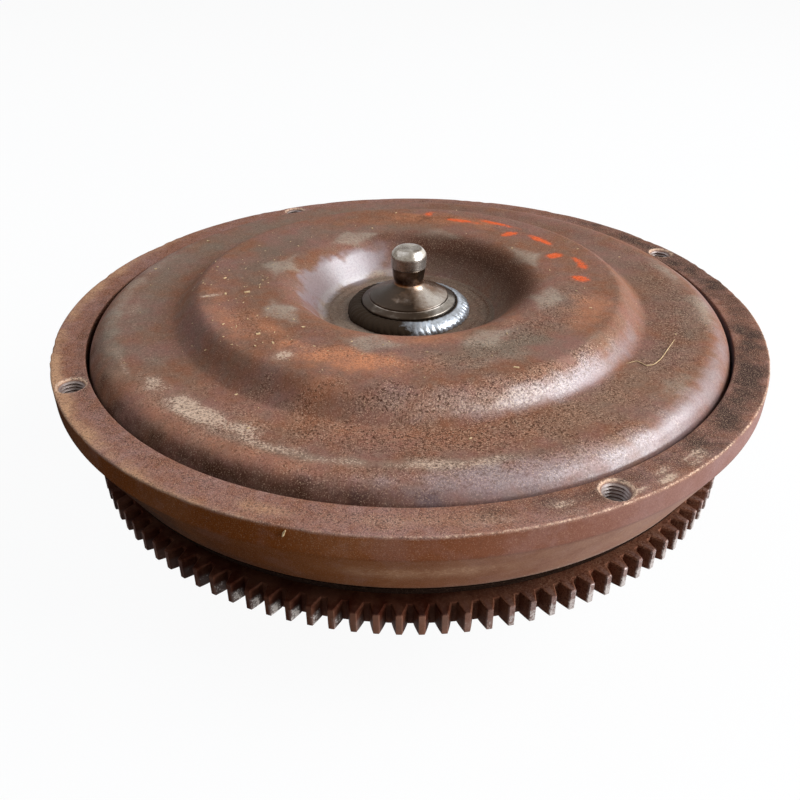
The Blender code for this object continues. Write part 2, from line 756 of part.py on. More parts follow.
def stator_wheel(material, body):
    """Turn the stator's grooved hub and its rim, and join the curved vanes between them."""
    half = RACE_W / 2 + SEAT_GAP + SNAP_RING_T + SEAT_GAP + STATOR_HUB_LIP
    top = MID_Z + half
    bottom = MID_Z - half
    groove_r = STATOR_BORE_R + SNAP_GROOVE_DEPTH
    groove = SNAP_RING_T + 2 * SEAT_GAP
    profile = [
        (STATOR_BORE_R, top),
        (STATOR_HUB_R, top),
        (STATOR_HUB_R, bottom),
        (STATOR_BORE_R, bottom),
        (STATOR_BORE_R, bottom + STATOR_HUB_LIP),
        (groove_r, bottom + STATOR_HUB_LIP),
        (groove_r, bottom + STATOR_HUB_LIP + groove),
        (STATOR_BORE_R, bottom + STATOR_HUB_LIP + groove),
        (STATOR_BORE_R, top - STATOR_HUB_LIP - groove),
        (groove_r, top - STATOR_HUB_LIP - groove),
        (groove_r, top - STATOR_HUB_LIP),
        (STATOR_BORE_R, top - STATOR_HUB_LIP),
    ]
    wheel = turned("stator_wheel", profile, SMALL_STEPS, material, body)
    ends = (
        (STATOR_HUB_R - STATOR_VANE_ROOT, RACE_W),
        (STATOR_RIM_R + STATOR_RIM_T / 2, STATOR_RIM_W - STATOR_RIM_T / 2),
    )
    vanes = []
    for i in range(STATOR_VANES):
        rows = []
        for j in range(STATOR_VANE_STEPS + 1):
            share = j / STATOR_VANE_STEPS
            angle = 2 * pi * i / STATOR_VANES + STATOR_VANE_TURN * share * share
            rows.append([(*polar(radius, angle), MID_Z + chord * (0.5 - share)) for radius, chord in ends])
        vanes.append(rows)
    combine(wheel, vane_sheets("stator_vane_sheets", vanes, STATOR_VANE_T, material), "UNION")
    bottom_z = MID_Z - STATOR_RIM_W / 2
    rim_out = STATOR_RIM_R + STATOR_RIM_T
    rim = washer("stator_rim", STATOR_RIM_R, rim_out, bottom_z, STATOR_RIM_W, SMALL_STEPS, material, None)
    combine(wheel, as_cutter(rim), "UNION")


def pocket_angles():
    """Give the angle of each roller pocket."""
    return [2 * pi * i / ROLLER_COUNT for i in range(ROLLER_COUNT)]


def clutch_length():
    """Give the length of the clutch's rollers, cam and springs between the two plates."""
    return RACE_W - 2 * PLATE_T - 4 * SEAT_GAP


def clutch_outer_race(material, body):
    """Extrude the cam ring. Each pocket's roof rises from its wedge end to its spring end."""
    land = RACE_R + CAM_LAND_GAP
    cam = []
    for angle in pocket_angles():
        cam.append(polar(land, angle - POCKET_NARROW))
        cam.append(polar(CAM_ROOF_R - CAM_RISE, angle - POCKET_NARROW))
        cam.append(polar(CAM_ROOF_R, angle))
        cam.append(polar(CAM_ROOF_R + CAM_RISE, angle + POCKET_WIDE))
        cam.append(polar(land, angle + POCKET_WIDE))
    outlines = [ring_outline(CAM_R, SMALL_STEPS), cam]
    length = clutch_length()
    plate("clutch_outer_race", outlines, MID_Z - length / 2, length, material, body)


def clutch_rollers(material, bodies):
    """Make the rollers, each on its own axis in its pocket."""
    length = clutch_length() - 2 * SEAT_GAP
    for i, angle in enumerate(pocket_angles()):
        x, y = polar(ROLLER_PITCH_R, angle)
        bpy.ops.mesh.primitive_cylinder_add(vertices=2 * TINY_STEPS, radius=ROLLER_R, depth=length)
        bodies[i].location = (x, y, MID_Z)
        settle(claim_primitive(f"clutch_roller_{i + 1}", material, bodies[i]))


def clutch_springs(material, body):
    """Fold a leaf spring for each pocket, from the roller that it pushes to the pocket's spring end."""
    bottom = MID_Z - SPRING_W / 2
    pitch = 2 * SPRING_REACH * sin(SPRING_LEAN) / cos(SPRING_LEAN)
    half = SPRING_T / 2 / sin(SPRING_LEAN)
    clear = ROLLER_R + SEAT_GAP + SPRING_T / 2
    middle = ROLLER_PITCH_R - SPRING_T
    offset = ROLLER_PITCH_R - middle + SPRING_REACH
    start = (clear - offset * sin(SPRING_LEAN)) / cos(SPRING_LEAN)
    for i, angle in enumerate(pocket_angles()):
        left = []
        right = []
        for j in range(SPRING_FOLDS + 1):
            along_pocket = start + pitch * j
            across = middle + (SPRING_REACH if j % 2 else -SPRING_REACH)
            left.append((across - half, along_pocket))
            right.append((across + half, along_pocket))
        outline = left + right[::-1]
        spring = plate(f"clutch_spring_{i + 1}", [outline], bottom, SPRING_W, material, body)
        spring.rotation_euler.z = angle


def clutch_inner_race(material, body):
    """Extrude the inner race, round outside for the rollers and splined inside for its fixed shaft."""
    bore = spline_outline(RACE_BORE_R, RACE_SPLINE_H, RACE_SPLINES)
    outlines = [ring_outline(RACE_R, SMALL_STEPS), bore]
    plate("clutch_inner_race", outlines, RACE_BACK_Z, RACE_W, material, body)


def clutch_ends(plate_steel, spring_steel, body):
    """Close both ends of the clutch with a retainer plate and a snap ring."""
    inner = RACE_R + SEAT_GAP * 2
    outer = CAM_R
    snap_out = STATOR_BORE_R + SNAP_GROOVE_DEPTH - SEAT_GAP
    snap_in = snap_out - SNAP_RING_W
    arc = [2 * pi * i / SMALL_STEPS for i in range(1, SMALL_STEPS)]
    outline = [polar(snap_out, a) for a in arc] + [polar(snap_in, a) for a in reversed(arc)]
    half = RACE_W / 2
    sides = (
        ("front", MID_Z + half - PLATE_T, MID_Z + half + SEAT_GAP),
        ("rear", MID_Z - half, MID_Z - half - SEAT_GAP - SNAP_RING_T),
    )
    for side, plate_z, snap_z in sides:
        washer(f"{side}_retainer_plate", inner, outer, plate_z, PLATE_T, SMALL_STEPS, plate_steel, body)
        plate(f"{side}_snap_ring", [outline], snap_z, SNAP_RING_T, spring_steel, body)


def build():
    """Build the whole converter."""
    clear_scene()
    new_collection(PARTS)
    new_collection(CUTTERS)

    rusty = new_material("rusty_pressed_steel", (0.20, 0.12, 0.10), 0.55, 0.6)
    ring_rust = new_material("rusty_ring_steel", (0.22, 0.13, 0.10), 0.65, 0.5)
    gear_steel = new_material("dark_gear_steel", (0.13, 0.08, 0.07), 0.55, 0.6)
    bright = new_material("bright_turned_steel", (0.55, 0.52, 0.48), 0.28, 1.0)
    weld = new_material("weld_metal", (0.34, 0.38, 0.42), 0.35, 0.9)
    hub_steel = new_material("machined_hub_steel", (0.50, 0.50, 0.50), 0.35, 1.0)
    sheet = new_material("oiled_sheet_steel", (0.38, 0.37, 0.35), 0.40, 0.9)
    cast = new_material("cast_aluminium", (0.62, 0.62, 0.60), 0.50, 1.0)
    hard = new_material("hardened_steel", (0.45, 0.45, 0.46), 0.25, 1.0)
    spring = new_material("spring_steel", (0.32, 0.34, 0.38), 0.30, 1.0)
    bronze = new_material("bronze_washer", (0.55, 0.38, 0.20), 0.45, 0.9)

    housing = new_body("housing")
    turbine = new_body("turbine")
    stator = new_body("stator")
    inner_race = new_body("inner_race")
    front_cage = new_body("front_cage")
    rear_cage = new_body("rear_cage")
    rollers = [new_body(f"roller_{i + 1}") for i in range(ROLLER_COUNT)]

    front_cover(rusty, housing)
    pilot_boss(bright, housing)
    pilot_weld(weld, housing)
    mounting_ring(ring_rust, housing)
    ring_foot = RING_TOP_Z - RING_H - SEAT_GAP
    cover_foot = COVER_EDGE_Z - SEAT_GAP
    fillet_bead("mounting_ring_weld", COVER_R + SEAT_GAP, ring_foot, RING_WELD_LEG, weld, housing)
    fillet_bead("closure_weld", SHELL_R + SEAT_GAP, cover_foot, CLOSURE_WELD_LEG, weld, housing)
    ring_gear(gear_steel, housing)
    impeller_shell(rusty, housing)
    impeller_vanes(sheet, housing)
    impeller_hub(hub_steel, housing)
    hub_weld(weld, housing)
    thrust_washer(bronze, housing)

    turbine_shell(sheet, turbine)
    turbine_vanes(sheet, turbine)
    turbine_hub(hub_steel, turbine)
    turbine_rivets(hub_steel, turbine)

    stator_wheel(cast, stator)
    clutch_outer_race(hard, stator)
    clutch_rollers(hard, rollers)
    clutch_springs(spring, stator)
    clutch_inner_race(hard, inner_race)
    clutch_ends(sheet, spring, stator)

    thrust_bearing("rear", HUB_FRONT_Z, housing, rear_cage, inner_race, hard, sheet)
    thrust_bearing("front", RACE_FRONT_Z, inner_race, front_cage, turbine, hard, sheet)


build()
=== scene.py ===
"""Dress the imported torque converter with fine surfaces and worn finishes.

Every new piece is a surface worked out with numpy in the CAD frame: metres, +Z up the spin axis, the origin in the
middle of the drive neck's end face. Lengths in the classes are metres, azimuths are degrees from +X about +Z, and a
height called high is measured from the mounting ring's top. Rows of patches give their lengths in millimetres.
"""

import json
import logging
import math
from dataclasses import dataclass
from enum import Enum
from typing import Dict, Iterable, List, Optional, Sequence, Tuple, Union

import bmesh
import bpy
import numpy as np
from mathutils import Matrix


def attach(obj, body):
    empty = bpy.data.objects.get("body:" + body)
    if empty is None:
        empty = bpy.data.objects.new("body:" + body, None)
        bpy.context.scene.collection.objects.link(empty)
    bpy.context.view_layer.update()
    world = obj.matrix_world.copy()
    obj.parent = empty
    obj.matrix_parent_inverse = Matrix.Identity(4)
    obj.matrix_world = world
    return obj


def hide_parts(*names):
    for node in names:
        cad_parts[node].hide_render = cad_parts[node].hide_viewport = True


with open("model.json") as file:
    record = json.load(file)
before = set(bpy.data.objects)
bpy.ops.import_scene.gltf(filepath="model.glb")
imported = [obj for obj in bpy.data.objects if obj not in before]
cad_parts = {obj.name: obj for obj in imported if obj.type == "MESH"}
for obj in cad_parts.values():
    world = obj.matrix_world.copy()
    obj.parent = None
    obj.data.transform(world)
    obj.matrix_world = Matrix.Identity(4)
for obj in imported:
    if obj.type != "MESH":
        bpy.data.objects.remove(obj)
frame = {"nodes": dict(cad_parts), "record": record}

LOG = logging.getLogger("torque_converter")
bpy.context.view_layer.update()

Array = np.ndarray
Colour = Tuple[float, float, float]
Place = Tuple[float, float, float]
Socket = bpy.types.NodeSocket
Feed = Union[Socket, float, Sequence[float]]
Feeds = Dict[Union[str, int], Feed]
Row = Tuple[float, float, float, float, float]

RING_TOP = 0.1098
HOUSING = "housing"
SHARP = 32.0
WHITE = (1.0, 1.0, 1.0)


class Mask(Enum):
    """The named masks that a piece carries on its points, each from 0 to 1."""

    OLIVE = "olive"
    RUST = "rust"
    # Sooting, and painted shade in creases and gaps, under overhangs and on sides turned from the lamps.
    SOOT_AND_PAINTED_SHADE = "soot_and_painted_shade"
    BARE_AND_PAINTED_LIGHT = "bare_and_painted_light"
    # Bared metal, and painted light on the left of the dish's lip and floor.
    PALE = "pale"
    # Worn edges, and painted glints and highlights on the gear's teeth and on the right of the ring's rim and cone.
    EDGE_AND_PAINTED_GLINT = "edge"
    PAINT = "paint"
    # Polished places: more coat gloss, and a painted reflection tint in the base colour where highlights fall.
    POLISH_AND_PAINTED_SHEEN = "polish_and_painted_sheen"
    GRIT = "grit"
    # Painted shade: on the cover's wall under the ring, the dish's far wall and the right of the dish floor.
    PAINTED_SHADE = "stain"


# Surfaces


def add_object(name: str, data: bpy.types.ID) -> bpy.types.Object:
    """Put a mesh, a lamp or a camera into the scene as an object at the origin."""
    obj = bpy.data.objects.new(name, data)
    bpy.context.scene.collection.objects.link(obj)
    return obj


def shade(mesh: bpy.types.Mesh, sharp: float) -> None:
    """Smooth a mesh, apart from edges that are sharper than an angle in degrees."""
    mesh.shade_smooth()
    mesh.set_sharp_from_angle(angle=math.radians(sharp))


@dataclass
class Surface:
    """Points and four-cornered faces of a closed surface."""

    points: Array
    faces: Array

    def to_object(self, name: str, sharp: float = SHARP) -> bpy.types.Object:
        """Make a mesh object, its doubles welded, facing outwards and smooth up to its sharp edges.

        Args:
            name: the object's name.
            sharp: the angle in degrees past which an edge stays sharp.

        Returns:
            The object, at the origin.
        """
        mesh = bpy.data.meshes.new(name)
        mesh.from_pydata(self.points.tolist(), [], self.faces.tolist())
        welded = bmesh.new()
        welded.from_mesh(mesh)
        bmesh.ops.remove_doubles(welded, verts=welded.verts, dist=1e-7)
        bmesh.ops.recalc_face_normals(welded, faces=welded.faces)
        welded.to_mesh(mesh)
        welded.free()
        shade(mesh, sharp)
        return add_object(name, mesh)


def turns(count: int) -> Array:
    """Give evenly spaced angles round a circle, in radians."""
    return np.linspace(0.0, 2 * np.pi, count, endpoint=False)


def around(radius: Array, turn: Array, height: Array) -> Array:
    """Give the (n, 3) points (r cos t, r sin t, z) of grids of radius, turn in radians and height, row after row."""
    radius, turn, height = np.broadcast_arrays(radius, turn, height)
    return np.stack([radius * np.cos(turn), radius * np.sin(turn), height], -1).reshape(-1, 3)


def arc(centre: Sequence[float], size: Sequence[float], start: float, end: float, count: int) -> Array:
    """Give points of an elliptic arc: centre + size * (cos a, sin a), with a from start to end in degrees.

    Args:
        centre: the (radius, height) of the middle.
        size: the half width and half height.
        start: the first angle.
        end: the last angle.
        count: how many points, both ends included.

    Returns:
        A (count, 2) array.
    """
    angle = np.radians(np.linspace(start, end, count))
    return np.stack([centre[0] + size[0] * np.cos(angle), centre[1] + size[1] * np.sin(angle)], 1)


def softened(corners: Sequence[Sequence[float]], count: int = 5) -> Array:
    """Round the corners of a closed chain, each by a quadratic curve that starts and ends a reach away from it.

    Args:
        corners: rows of radius, height and reach.
        count: points on each corner's curve.

    Returns:
        The rounded chain, without repeated points.
    """
    table = np.asarray(corners, float)
    chain, reach = table[:, :2], table[:, 2:]
    before = np.roll(chain, 1, 0) - chain
    after = np.roll(chain, -1, 0) - chain
    first = chain + before / np.linalg.norm(before, axis=1, keepdims=True) * reach
    last = chain + after / np.linalg.norm(after, axis=1, keepdims=True) * reach
    t = np.linspace(0.0, 1.0, count)[None, :, None]
    curve = (1 - t) ** 2 * first[:, None] + 2 * t * (1 - t) * chain[:, None] + t ** 2 * last[:, None]
    flat = curve.reshape(-1, 2)
    return flat[np.linalg.norm(flat - np.roll(flat, 1, 0), axis=1) > 1e-7]


def refined(profile: Array, step: float, closed: bool = False) -> Array:
    """Add points along a profile, by arc length, so that none are further apart than a step.

    Args:
        profile: (radius, height) points.
        step: the longest distance left between neighbours.
        closed: whether the last point leads back to the first.

    Returns:
        The profile with its own points kept.
    """
    near = step * 0.05
    chain = np.concatenate([profile, profile[:1]]) if closed else profile
    length = np.concatenate([[0.0], np.cumsum(np.linalg.norm(np.diff(chain, axis=0), axis=1))])
    places = np.unique(np.concatenate([length, np.arange(0.0, length[-1], step)]))
    places = places[np.concatenate([[True], np.diff(places) > near])]
    fine = np.stack([np.interp(places, length, chain[:, 0]), np.interp(places, length, chain[:, 1])], 1)
    return fine[:-1] if closed and np.linalg.norm(fine[-1] - fine[0]) < near else fine


def walled(outside: Array, wall: float, low: Sequence[float], high: Sequence[float]) -> Array:
    """Close a pressed sheet's section: its outside, then every third point of its inside on the way back.

    Args:
        outside: (radius, height) points of the outside.
        wall: the sheet's thickness, along the outside's normals.
        low: the least radius and height of the inside.
        high: the greatest radius and height of the inside.

    Returns:
        The closed section.
    """
    along = np.gradient(outside, axis=0)
    along /= np.linalg.norm(along, axis=1, keepdims=True)
    inside = np.clip(outside + wall * np.stack([along[:, 1], -along[:, 0]], 1), low, high)
    return np.concatenate([outside, inside[::3][::-1]])


def grid_faces(rows: int, columns: int, close_columns: bool, close_rows: bool = True) -> Array:
    """Give the faces of a grid of points, its rows and its columns joined into rings where they close.

    Args:
        rows: how many rows.
        columns: points in a row.
        close_columns: whether each row's last point joins its first.
        close_rows: whether the last row joins the first.

    Returns:
        An (n, 4) array of point numbers.
    """
    ids = np.arange(rows * columns).reshape(rows, columns)
    ids = np.concatenate([ids, ids[:1]]) if close_rows else ids
    ids = np.concatenate([ids, ids[:, :1]], 1) if close_columns else ids
    corners = (ids[:-1, :-1], ids[:-1, 1:], ids[1:, 1:], ids[1:, :-1])
    return np.stack(corners, -1).reshape(-1, 4)


def lathe(profile: Array, steps: int, closed: bool = True) -> Surface:
    """Carry a profile round Z.

    Args:
        profile: (radius, height) points, outwards over the top and down the outer side.
        steps: turns round the axis.
        closed: whether the last point leads back to the first.

    Returns:
        The turned surface.
    """
    radius, height = profile.T
    return Surface(around(radius, turns(steps)[:, None], height), grid_faces(steps, len(profile), closed))


# Values over a surface


def waves(points: Array, length: float, seed: int, count: int = 14) -> Array:
    """Give smooth noise of about -1 to 1: the mean of cosines of one wavelength in seeded directions.

    Args:
        points: (n, 3) places.
        length: the wavelength.
        seed: the seed of the directions and phases.
        count: how many cosines.

    Returns:
        An (n,) array.
    """
    rng = np.random.default_rng(seed)
    way = rng.normal(size=(count, 3))
    way *= 2 * np.pi / length / np.linalg.norm(way, axis=1, keepdims=True)
    return np.cos(points @ way.T + rng.uniform(0, 2 * np.pi, count)).sum(1) * math.sqrt(2 / count) / 1.6


def smooth(value: Array, low: float, high: float) -> Array:
    """Give the smooth step 3t^2 - 2t^3 of a value between a low and a high bound."""
    t = np.clip((value - low) / (high - low), 0.0, 1.0)
    return t * t * (3 - 2 * t)


def bell(value: Array, middle: float, width: float) -> Array:
    """Give the bell curve exp(-((v - middle) / width)^2) of a value."""
    return np.exp(-((value - middle) / width) ** 2)


def apart(azimuth: Array, middle: float) -> Array:
    """Give how many degrees lie between azimuths and a middle one, from 0 to 180."""
    return np.abs((azimuth - middle + 180.0) % 360.0 - 180.0)


def sector(azimuth: Array, middle: float, end: float, full: float) -> Array:
    """Give 1 within some degrees of a middle azimuth, falling smoothly to 0 at its end."""
    return smooth(apart(azimuth, middle), end, full)


def most(*values: Array) -> Array:
    """Give the greatest of several values at each point."""
    return np.maximum.reduce(values)


def polar(points: Array) -> Tuple[Array, Array]:
    """Give each point's distance from the spin axis and its azimuth in degrees."""
    return np.hypot(points[:, 0], points[:, 1]), np.degrees(np.arctan2(points[:, 1], points[:, 0]))


def places_of(obj: bpy.types.Object) -> Array:
    """Give a mesh object's points as an (n, 3) array."""
    flat = np.empty(len(obj.data.vertices) * 3)
    obj.data.vertices.foreach_get("co", flat)
    return flat.reshape(-1, 3)


def move_points(obj: bpy.types.Object, points: Array) -> None:
    """Write an (n, 3) array back to a new piece's points."""
    obj.data.vertices.foreach_set("co", points.ravel())
    obj.data.update()


def set_masks(obj: bpy.types.Object, masks: Dict[Mask, Array]) -> None:
    """Store masks on a piece's points."""
    for mask, values in masks.items():
        layer = obj.data.attributes.new(mask.value, "FLOAT", "POINT")
        layer.data.foreach_set("value", np.clip(values, 0.0, 1.0).astype(np.float32))


def cut_away(obj: bpy.types.Object, tool: Surface) -> None:
    """Cut a tool surface out of a piece with an exact boolean, and keep the result as the piece's mesh."""
    cutter = tool.to_object("cutter")
    boolean = obj.modifiers.new("Cut", "BOOLEAN")
    boolean.operation = "DIFFERENCE"
    boolean.solver = "EXACT"
    boolean.object = cutter
    bpy.context.view_layer.update()
    graph = bpy.context.evaluated_depsgraph_get()
    mesh = bpy.data.meshes.new_from_object(obj.evaluated_get(graph), depsgraph=graph)
    obj.modifiers.clear()
    obj.data = mesh
    bpy.data.objects.remove(cutter, do_unlink=True)
    shade(mesh, SHARP)


@dataclass(frozen=True)
class Patch:
    """A soft-edged patch on a face round the axis, worked out as a superellipse in radius and arc length.

    Its distance is d = (|u|^p + |v|^p)^(1/p), with u across and v along the circle in half sizes, plus noise that
    frays it, and the mask is strength * smooth(1 - d). A power p under 1 gives a diamond with hollow sides.
    """

    mask: Mask
    radius: float
    azimuth: float
    deep: float
    long: float
    strength: float = 1.0
    power: float = 2.0
    soft: float = 0.9
    fray: float = 0.32

    def values(self, radius: Array, azimuth: Array, ruffle: Array) -> Array:
        """Give the mask at points.

        Args:
            radius: distance from the axis.
            azimuth: degrees.
            ruffle: noise of about -1 to 1 that frays the edge.

        Returns:
            The mask's values.
        """
        across = np.abs(radius - self.radius) / self.deep
        along = np.radians(apart(azimuth, self.azimuth)) * self.radius / self.long
        d = (across ** self.power + along ** self.power) ** (1 / self.power) + self.fray * ruffle
        return self.strength * smooth(1.0 - d, 0.0, self.soft)


def patches_of(rows: Dict[Mask, Iterable[Row]], **shape: float) -> List[Patch]:
    """Make patches from rows of radius, azimuth, half depth, half length and strength, lengths in millimetres.

    Args:
        rows: the rows for each mask.
        shape: the patches' power, soft and fray, where they aren't the usual ones.

    Returns:
        The patches.
    """
    return [
        Patch(mask, radius / 1000, azimuth, deep / 1000, long / 1000, strength, **shape)
        for mask, group in rows.items()
        for radius, azimuth, deep, long, strength in group
    ]


def lay_patches(
    obj: bpy.types.Object,
    patches: Sequence[Patch],
    floor: Optional[Dict[Mask, Array]] = None,
    where: Union[Array, float] = 1.0,
) -> None:
    """Store on a piece, for each mask, the greatest of its patches and of a starting value.

    Args:
        obj: the piece.
        patches: the patches.
        floor: starting values for some masks.
        where: a share by which the patches count at each point.
    """
    points = places_of(obj)
    radius, azimuth = polar(points)
    ruffle = 0.5 * waves(points, 0.016, 5) + 0.3 * waves(points, 0.007, 6) + 0.2 * waves(points, 0.0035, 7)
    layers: Dict[Mask, Array] = dict(floor or {})
    for patch in patches:
        found = patch.values(radius, azimuth, ruffle) * where
        layers[patch.mask] = np.maximum(layers.get(patch.mask, 0.0), found)
    set_masks(obj, layers)


# Shader nodes


class Graph:
    """A node tree that is being wired."""

    def __init__(self, tree: bpy.types.NodeTree) -> None:
        """Keep the tree."""
        self.tree = tree

    def node(self, kind: str, feeds: Optional[Feeds] = None, **settings: object) -> bpy.types.Node:
        """Add a node.

        Args:
            kind: the node's type.
            feeds: what goes into its inputs, by name or place: a socket to link or a plain value.
            settings: the node's own properties.

        Returns:
            The node.
        """
        made = self.tree.nodes.new(kind)
        for key, value in settings.items():
            setattr(made, key, value)
        self.feed(made, feeds or {})
        return made

    def feed(self, node: bpy.types.Node, feeds: Feeds) -> None:
        """Link sockets into a node's inputs, or set the inputs' plain values."""
        for key, value in feeds.items():
            socket = node.inputs[key]
            if isinstance(value, bpy.types.NodeSocket):
                self.tree.links.new(value, socket)
            else:
                socket.default_value = (*value, 1.0) if socket.type == "RGBA" else value

    def math(self, operation: str, a: Feed, b: Feed, clamp: bool = False) -> Socket:
        """Add a Math node and give its result."""
        return self.node("ShaderNodeMath", {0: a, 1: b}, operation=operation, use_clamp=clamp).outputs[0]

    def times(self, a: Feed, b: Feed, clamp: bool = False) -> Socket:
        """Give a product."""
        return self.math("MULTIPLY", a, b, clamp)

    def plus(self, a: Feed, b: Feed, clamp: bool = False) -> Socket:
        """Give a sum."""
        return self.math("ADD", a, b, clamp)

    def less(self, a: Feed, b: Feed, clamp: bool = False) -> Socket:
        """Give a difference."""
        return self.math("SUBTRACT", a, b, clamp)

    def most(self, a: Feed, b: Feed) -> Socket:
        """Give the greater of two values."""
        return self.math("MAXIMUM", a, b)

    def step(self, value: Feed, low: Feed, high: Feed, start: float = 0.0, end: float = 1.0) -> Socket:
        """Map a value smoothly from the range low..high to start..end."""
        feeds = {"Value": value, "From Min": low, "From Max": high, "To Min": start, "To Max": end}
        return self.node("ShaderNodeMapRange", feeds, interpolation_type="SMOOTHSTEP").outputs["Result"]

    def mix(self, factor: Feed, a: Feed, b: Feed) -> Socket:
        """Mix two colours."""
        feeds = {"Factor": factor, 6: a, 7: b}
        return self.node("ShaderNodeMix", feeds, data_type="RGBA", clamp_factor=True).outputs[2]

    def noise(self, vector: Feed, scale: Feed, detail: float, roughness: float = 0.55) -> Socket:
        """Add a noise of about 0 to 1."""
        feeds = {"Vector": vector, "Scale": scale, "Detail": detail, "Roughness": roughness}
        return self.node("ShaderNodeTexNoise", feeds).outputs["Fac"]

    def bump(self, height: Feed, strength: float, distance: float) -> Socket:
        """Give the normal of a surface raised by a height."""
        feeds = {"Height": height, "Strength": strength, "Distance": distance}
        return self.node("ShaderNodeBump", feeds).outputs["Normal"]

    def mask(self, mask: Mask) -> Socket:
        """Read one of the piece's own masks."""
        return self.node("ShaderNodeAttribute", attribute_name=mask.value).outputs["Fac"]

    def place(self) -> Socket:
        """Give the object coordinates."""
        return self.node("ShaderNodeTexCoord").outputs["Object"]

    def use(self, group: bpy.types.NodeTree, **feeds: Feed) -> bpy.types.NodeOutputs:
        """Place a shared node group, feed its inputs by name and give its outputs."""
        return self.node("ShaderNodeGroup", feeds, node_tree=group).outputs


def new_group(name: str, inputs: str, outputs: str) -> Tuple[Graph, bpy.types.NodeOutputs, bpy.types.Node]:
    """Start a shared node group of plain values; an input named Vector is a vector.

    Args:
        name: the group's name.
        inputs: the inputs' names, parted by spaces.
        outputs: the outputs' names, parted by spaces.

    Returns:
        Its graph, what its input node gives and its output node.
    """
    tree = bpy.data.node_groups.new(name, "ShaderNodeTree")
    for way, labels in (("INPUT", inputs), ("OUTPUT", outputs)):
        for label in labels.split():
            kind = "NodeSocketVector" if label == "Vector" else "NodeSocketFloat"
            tree.interface.new_socket(label, in_out=way, socket_type=kind)
    graph = Graph(tree)
    return graph, graph.node("NodeGroupInput").outputs, graph.node("NodeGroupOutput")


class SharedEffects:
    """The node groups that the finishes share."""

    def __init__(self) -> None:
        """Build each group once."""
        self.grain = self.build_grain()
        self.layer = self.build_layer()
        self.spin = self.build_spin()

    @staticmethod
    def build_grain() -> bpy.types.NodeTree:
        """Build rust grain: specks and pits from fine noises, blotches and clouds from broad ones, and a height."""
        graph, given, end = new_group("rust_grain", "Vector Scale Specks Pits", "Speck Pit Blotch Cloud Height")
        place, scale = given["Vector"], given["Scale"]
        fine = graph.noise(place, scale, 3.0, 0.62)
        finer = graph.noise(place, graph.times(scale, 2.1), 2.0, 0.7)
        broad = graph.noise(place, graph.times(scale, 0.036), 5.0, 0.6)
        middling = graph.noise(place, graph.times(scale, 0.15), 4.0, 0.65)
        graph.feed(end, {
            "Speck": graph.times(graph.step(finer, 0.56, 0.68), given["Specks"], clamp=True),
            "Pit": graph.times(graph.step(fine, 0.43, 0.32), given["Pits"], clamp=True),
            "Blotch": graph.step(broad, 0.36, 0.64),
            "Cloud": graph.step(middling, 0.36, 0.66),
            "Height": graph.plus(graph.times(fine, 0.55), graph.times(finer, 0.45)),
        })
        return graph.tree

    @staticmethod
    def build_layer() -> bpy.types.NodeTree:
        """Build a layer's amount: a cloudy veil of a mask, plus specks where noise passes 0.72 - 0.38 * mask."""
        graph, given, end = new_group("speckled_layer", "Mask Vector Scale Veil Specks", "Amount")
        mask, place, scale = given["Mask"], given["Vector"], given["Scale"]
        limit = graph.less(0.72, graph.times(mask, 0.38))
        cut = graph.step(graph.noise(place, scale, 3.0, 0.7), limit, graph.plus(limit, 0.1))
        cut = graph.times(cut, graph.step(mask, 0.02, 0.25))
        cloud = graph.step(graph.noise(place, graph.times(scale, 0.13), 4.0, 0.6), 0.32, 0.66, 0.55, 1.15)
        veil = graph.times(graph.times(mask, cloud), given["Veil"])
        graph.feed(end, {"Amount": graph.plus(veil, graph.times(cut, given["Specks"]), clamp=True)})
        return graph.tree

    @staticmethod
    def build_spin() -> bpy.types.NodeTree:
        """Build turning marks: noise on (radius, height) only, which draws circles round the spin axis."""
        graph, given, end = new_group("turning_marks", "Vector Scale", "Marks")
        parts = graph.node("ShaderNodeSeparateXYZ", {0: given["Vector"]}).outputs
        flat = graph.node("ShaderNodeCombineXYZ", {0: parts[0], 1: parts[1]}).outputs[0]
        radius = graph.node("ShaderNodeVectorMath", {0: flat}, operation="LENGTH").outputs["Value"]
        section = graph.node("ShaderNodeCombineXYZ", {0: radius, 1: parts[2]}).outputs[0]
        graph.feed(end, {"Marks": graph.noise(section, given["Scale"], 3.0, 0.7)})
        return graph.tree


def new_material(name: str) -> Tuple[bpy.types.Material, Graph, bpy.types.Node]:
    """Start a material and give it, its graph and its Principled shader."""
    material = bpy.data.materials.new(name)
    material.use_nodes = True
    return material, Graph(material.node_tree), material.node_tree.nodes["Principled BSDF"]


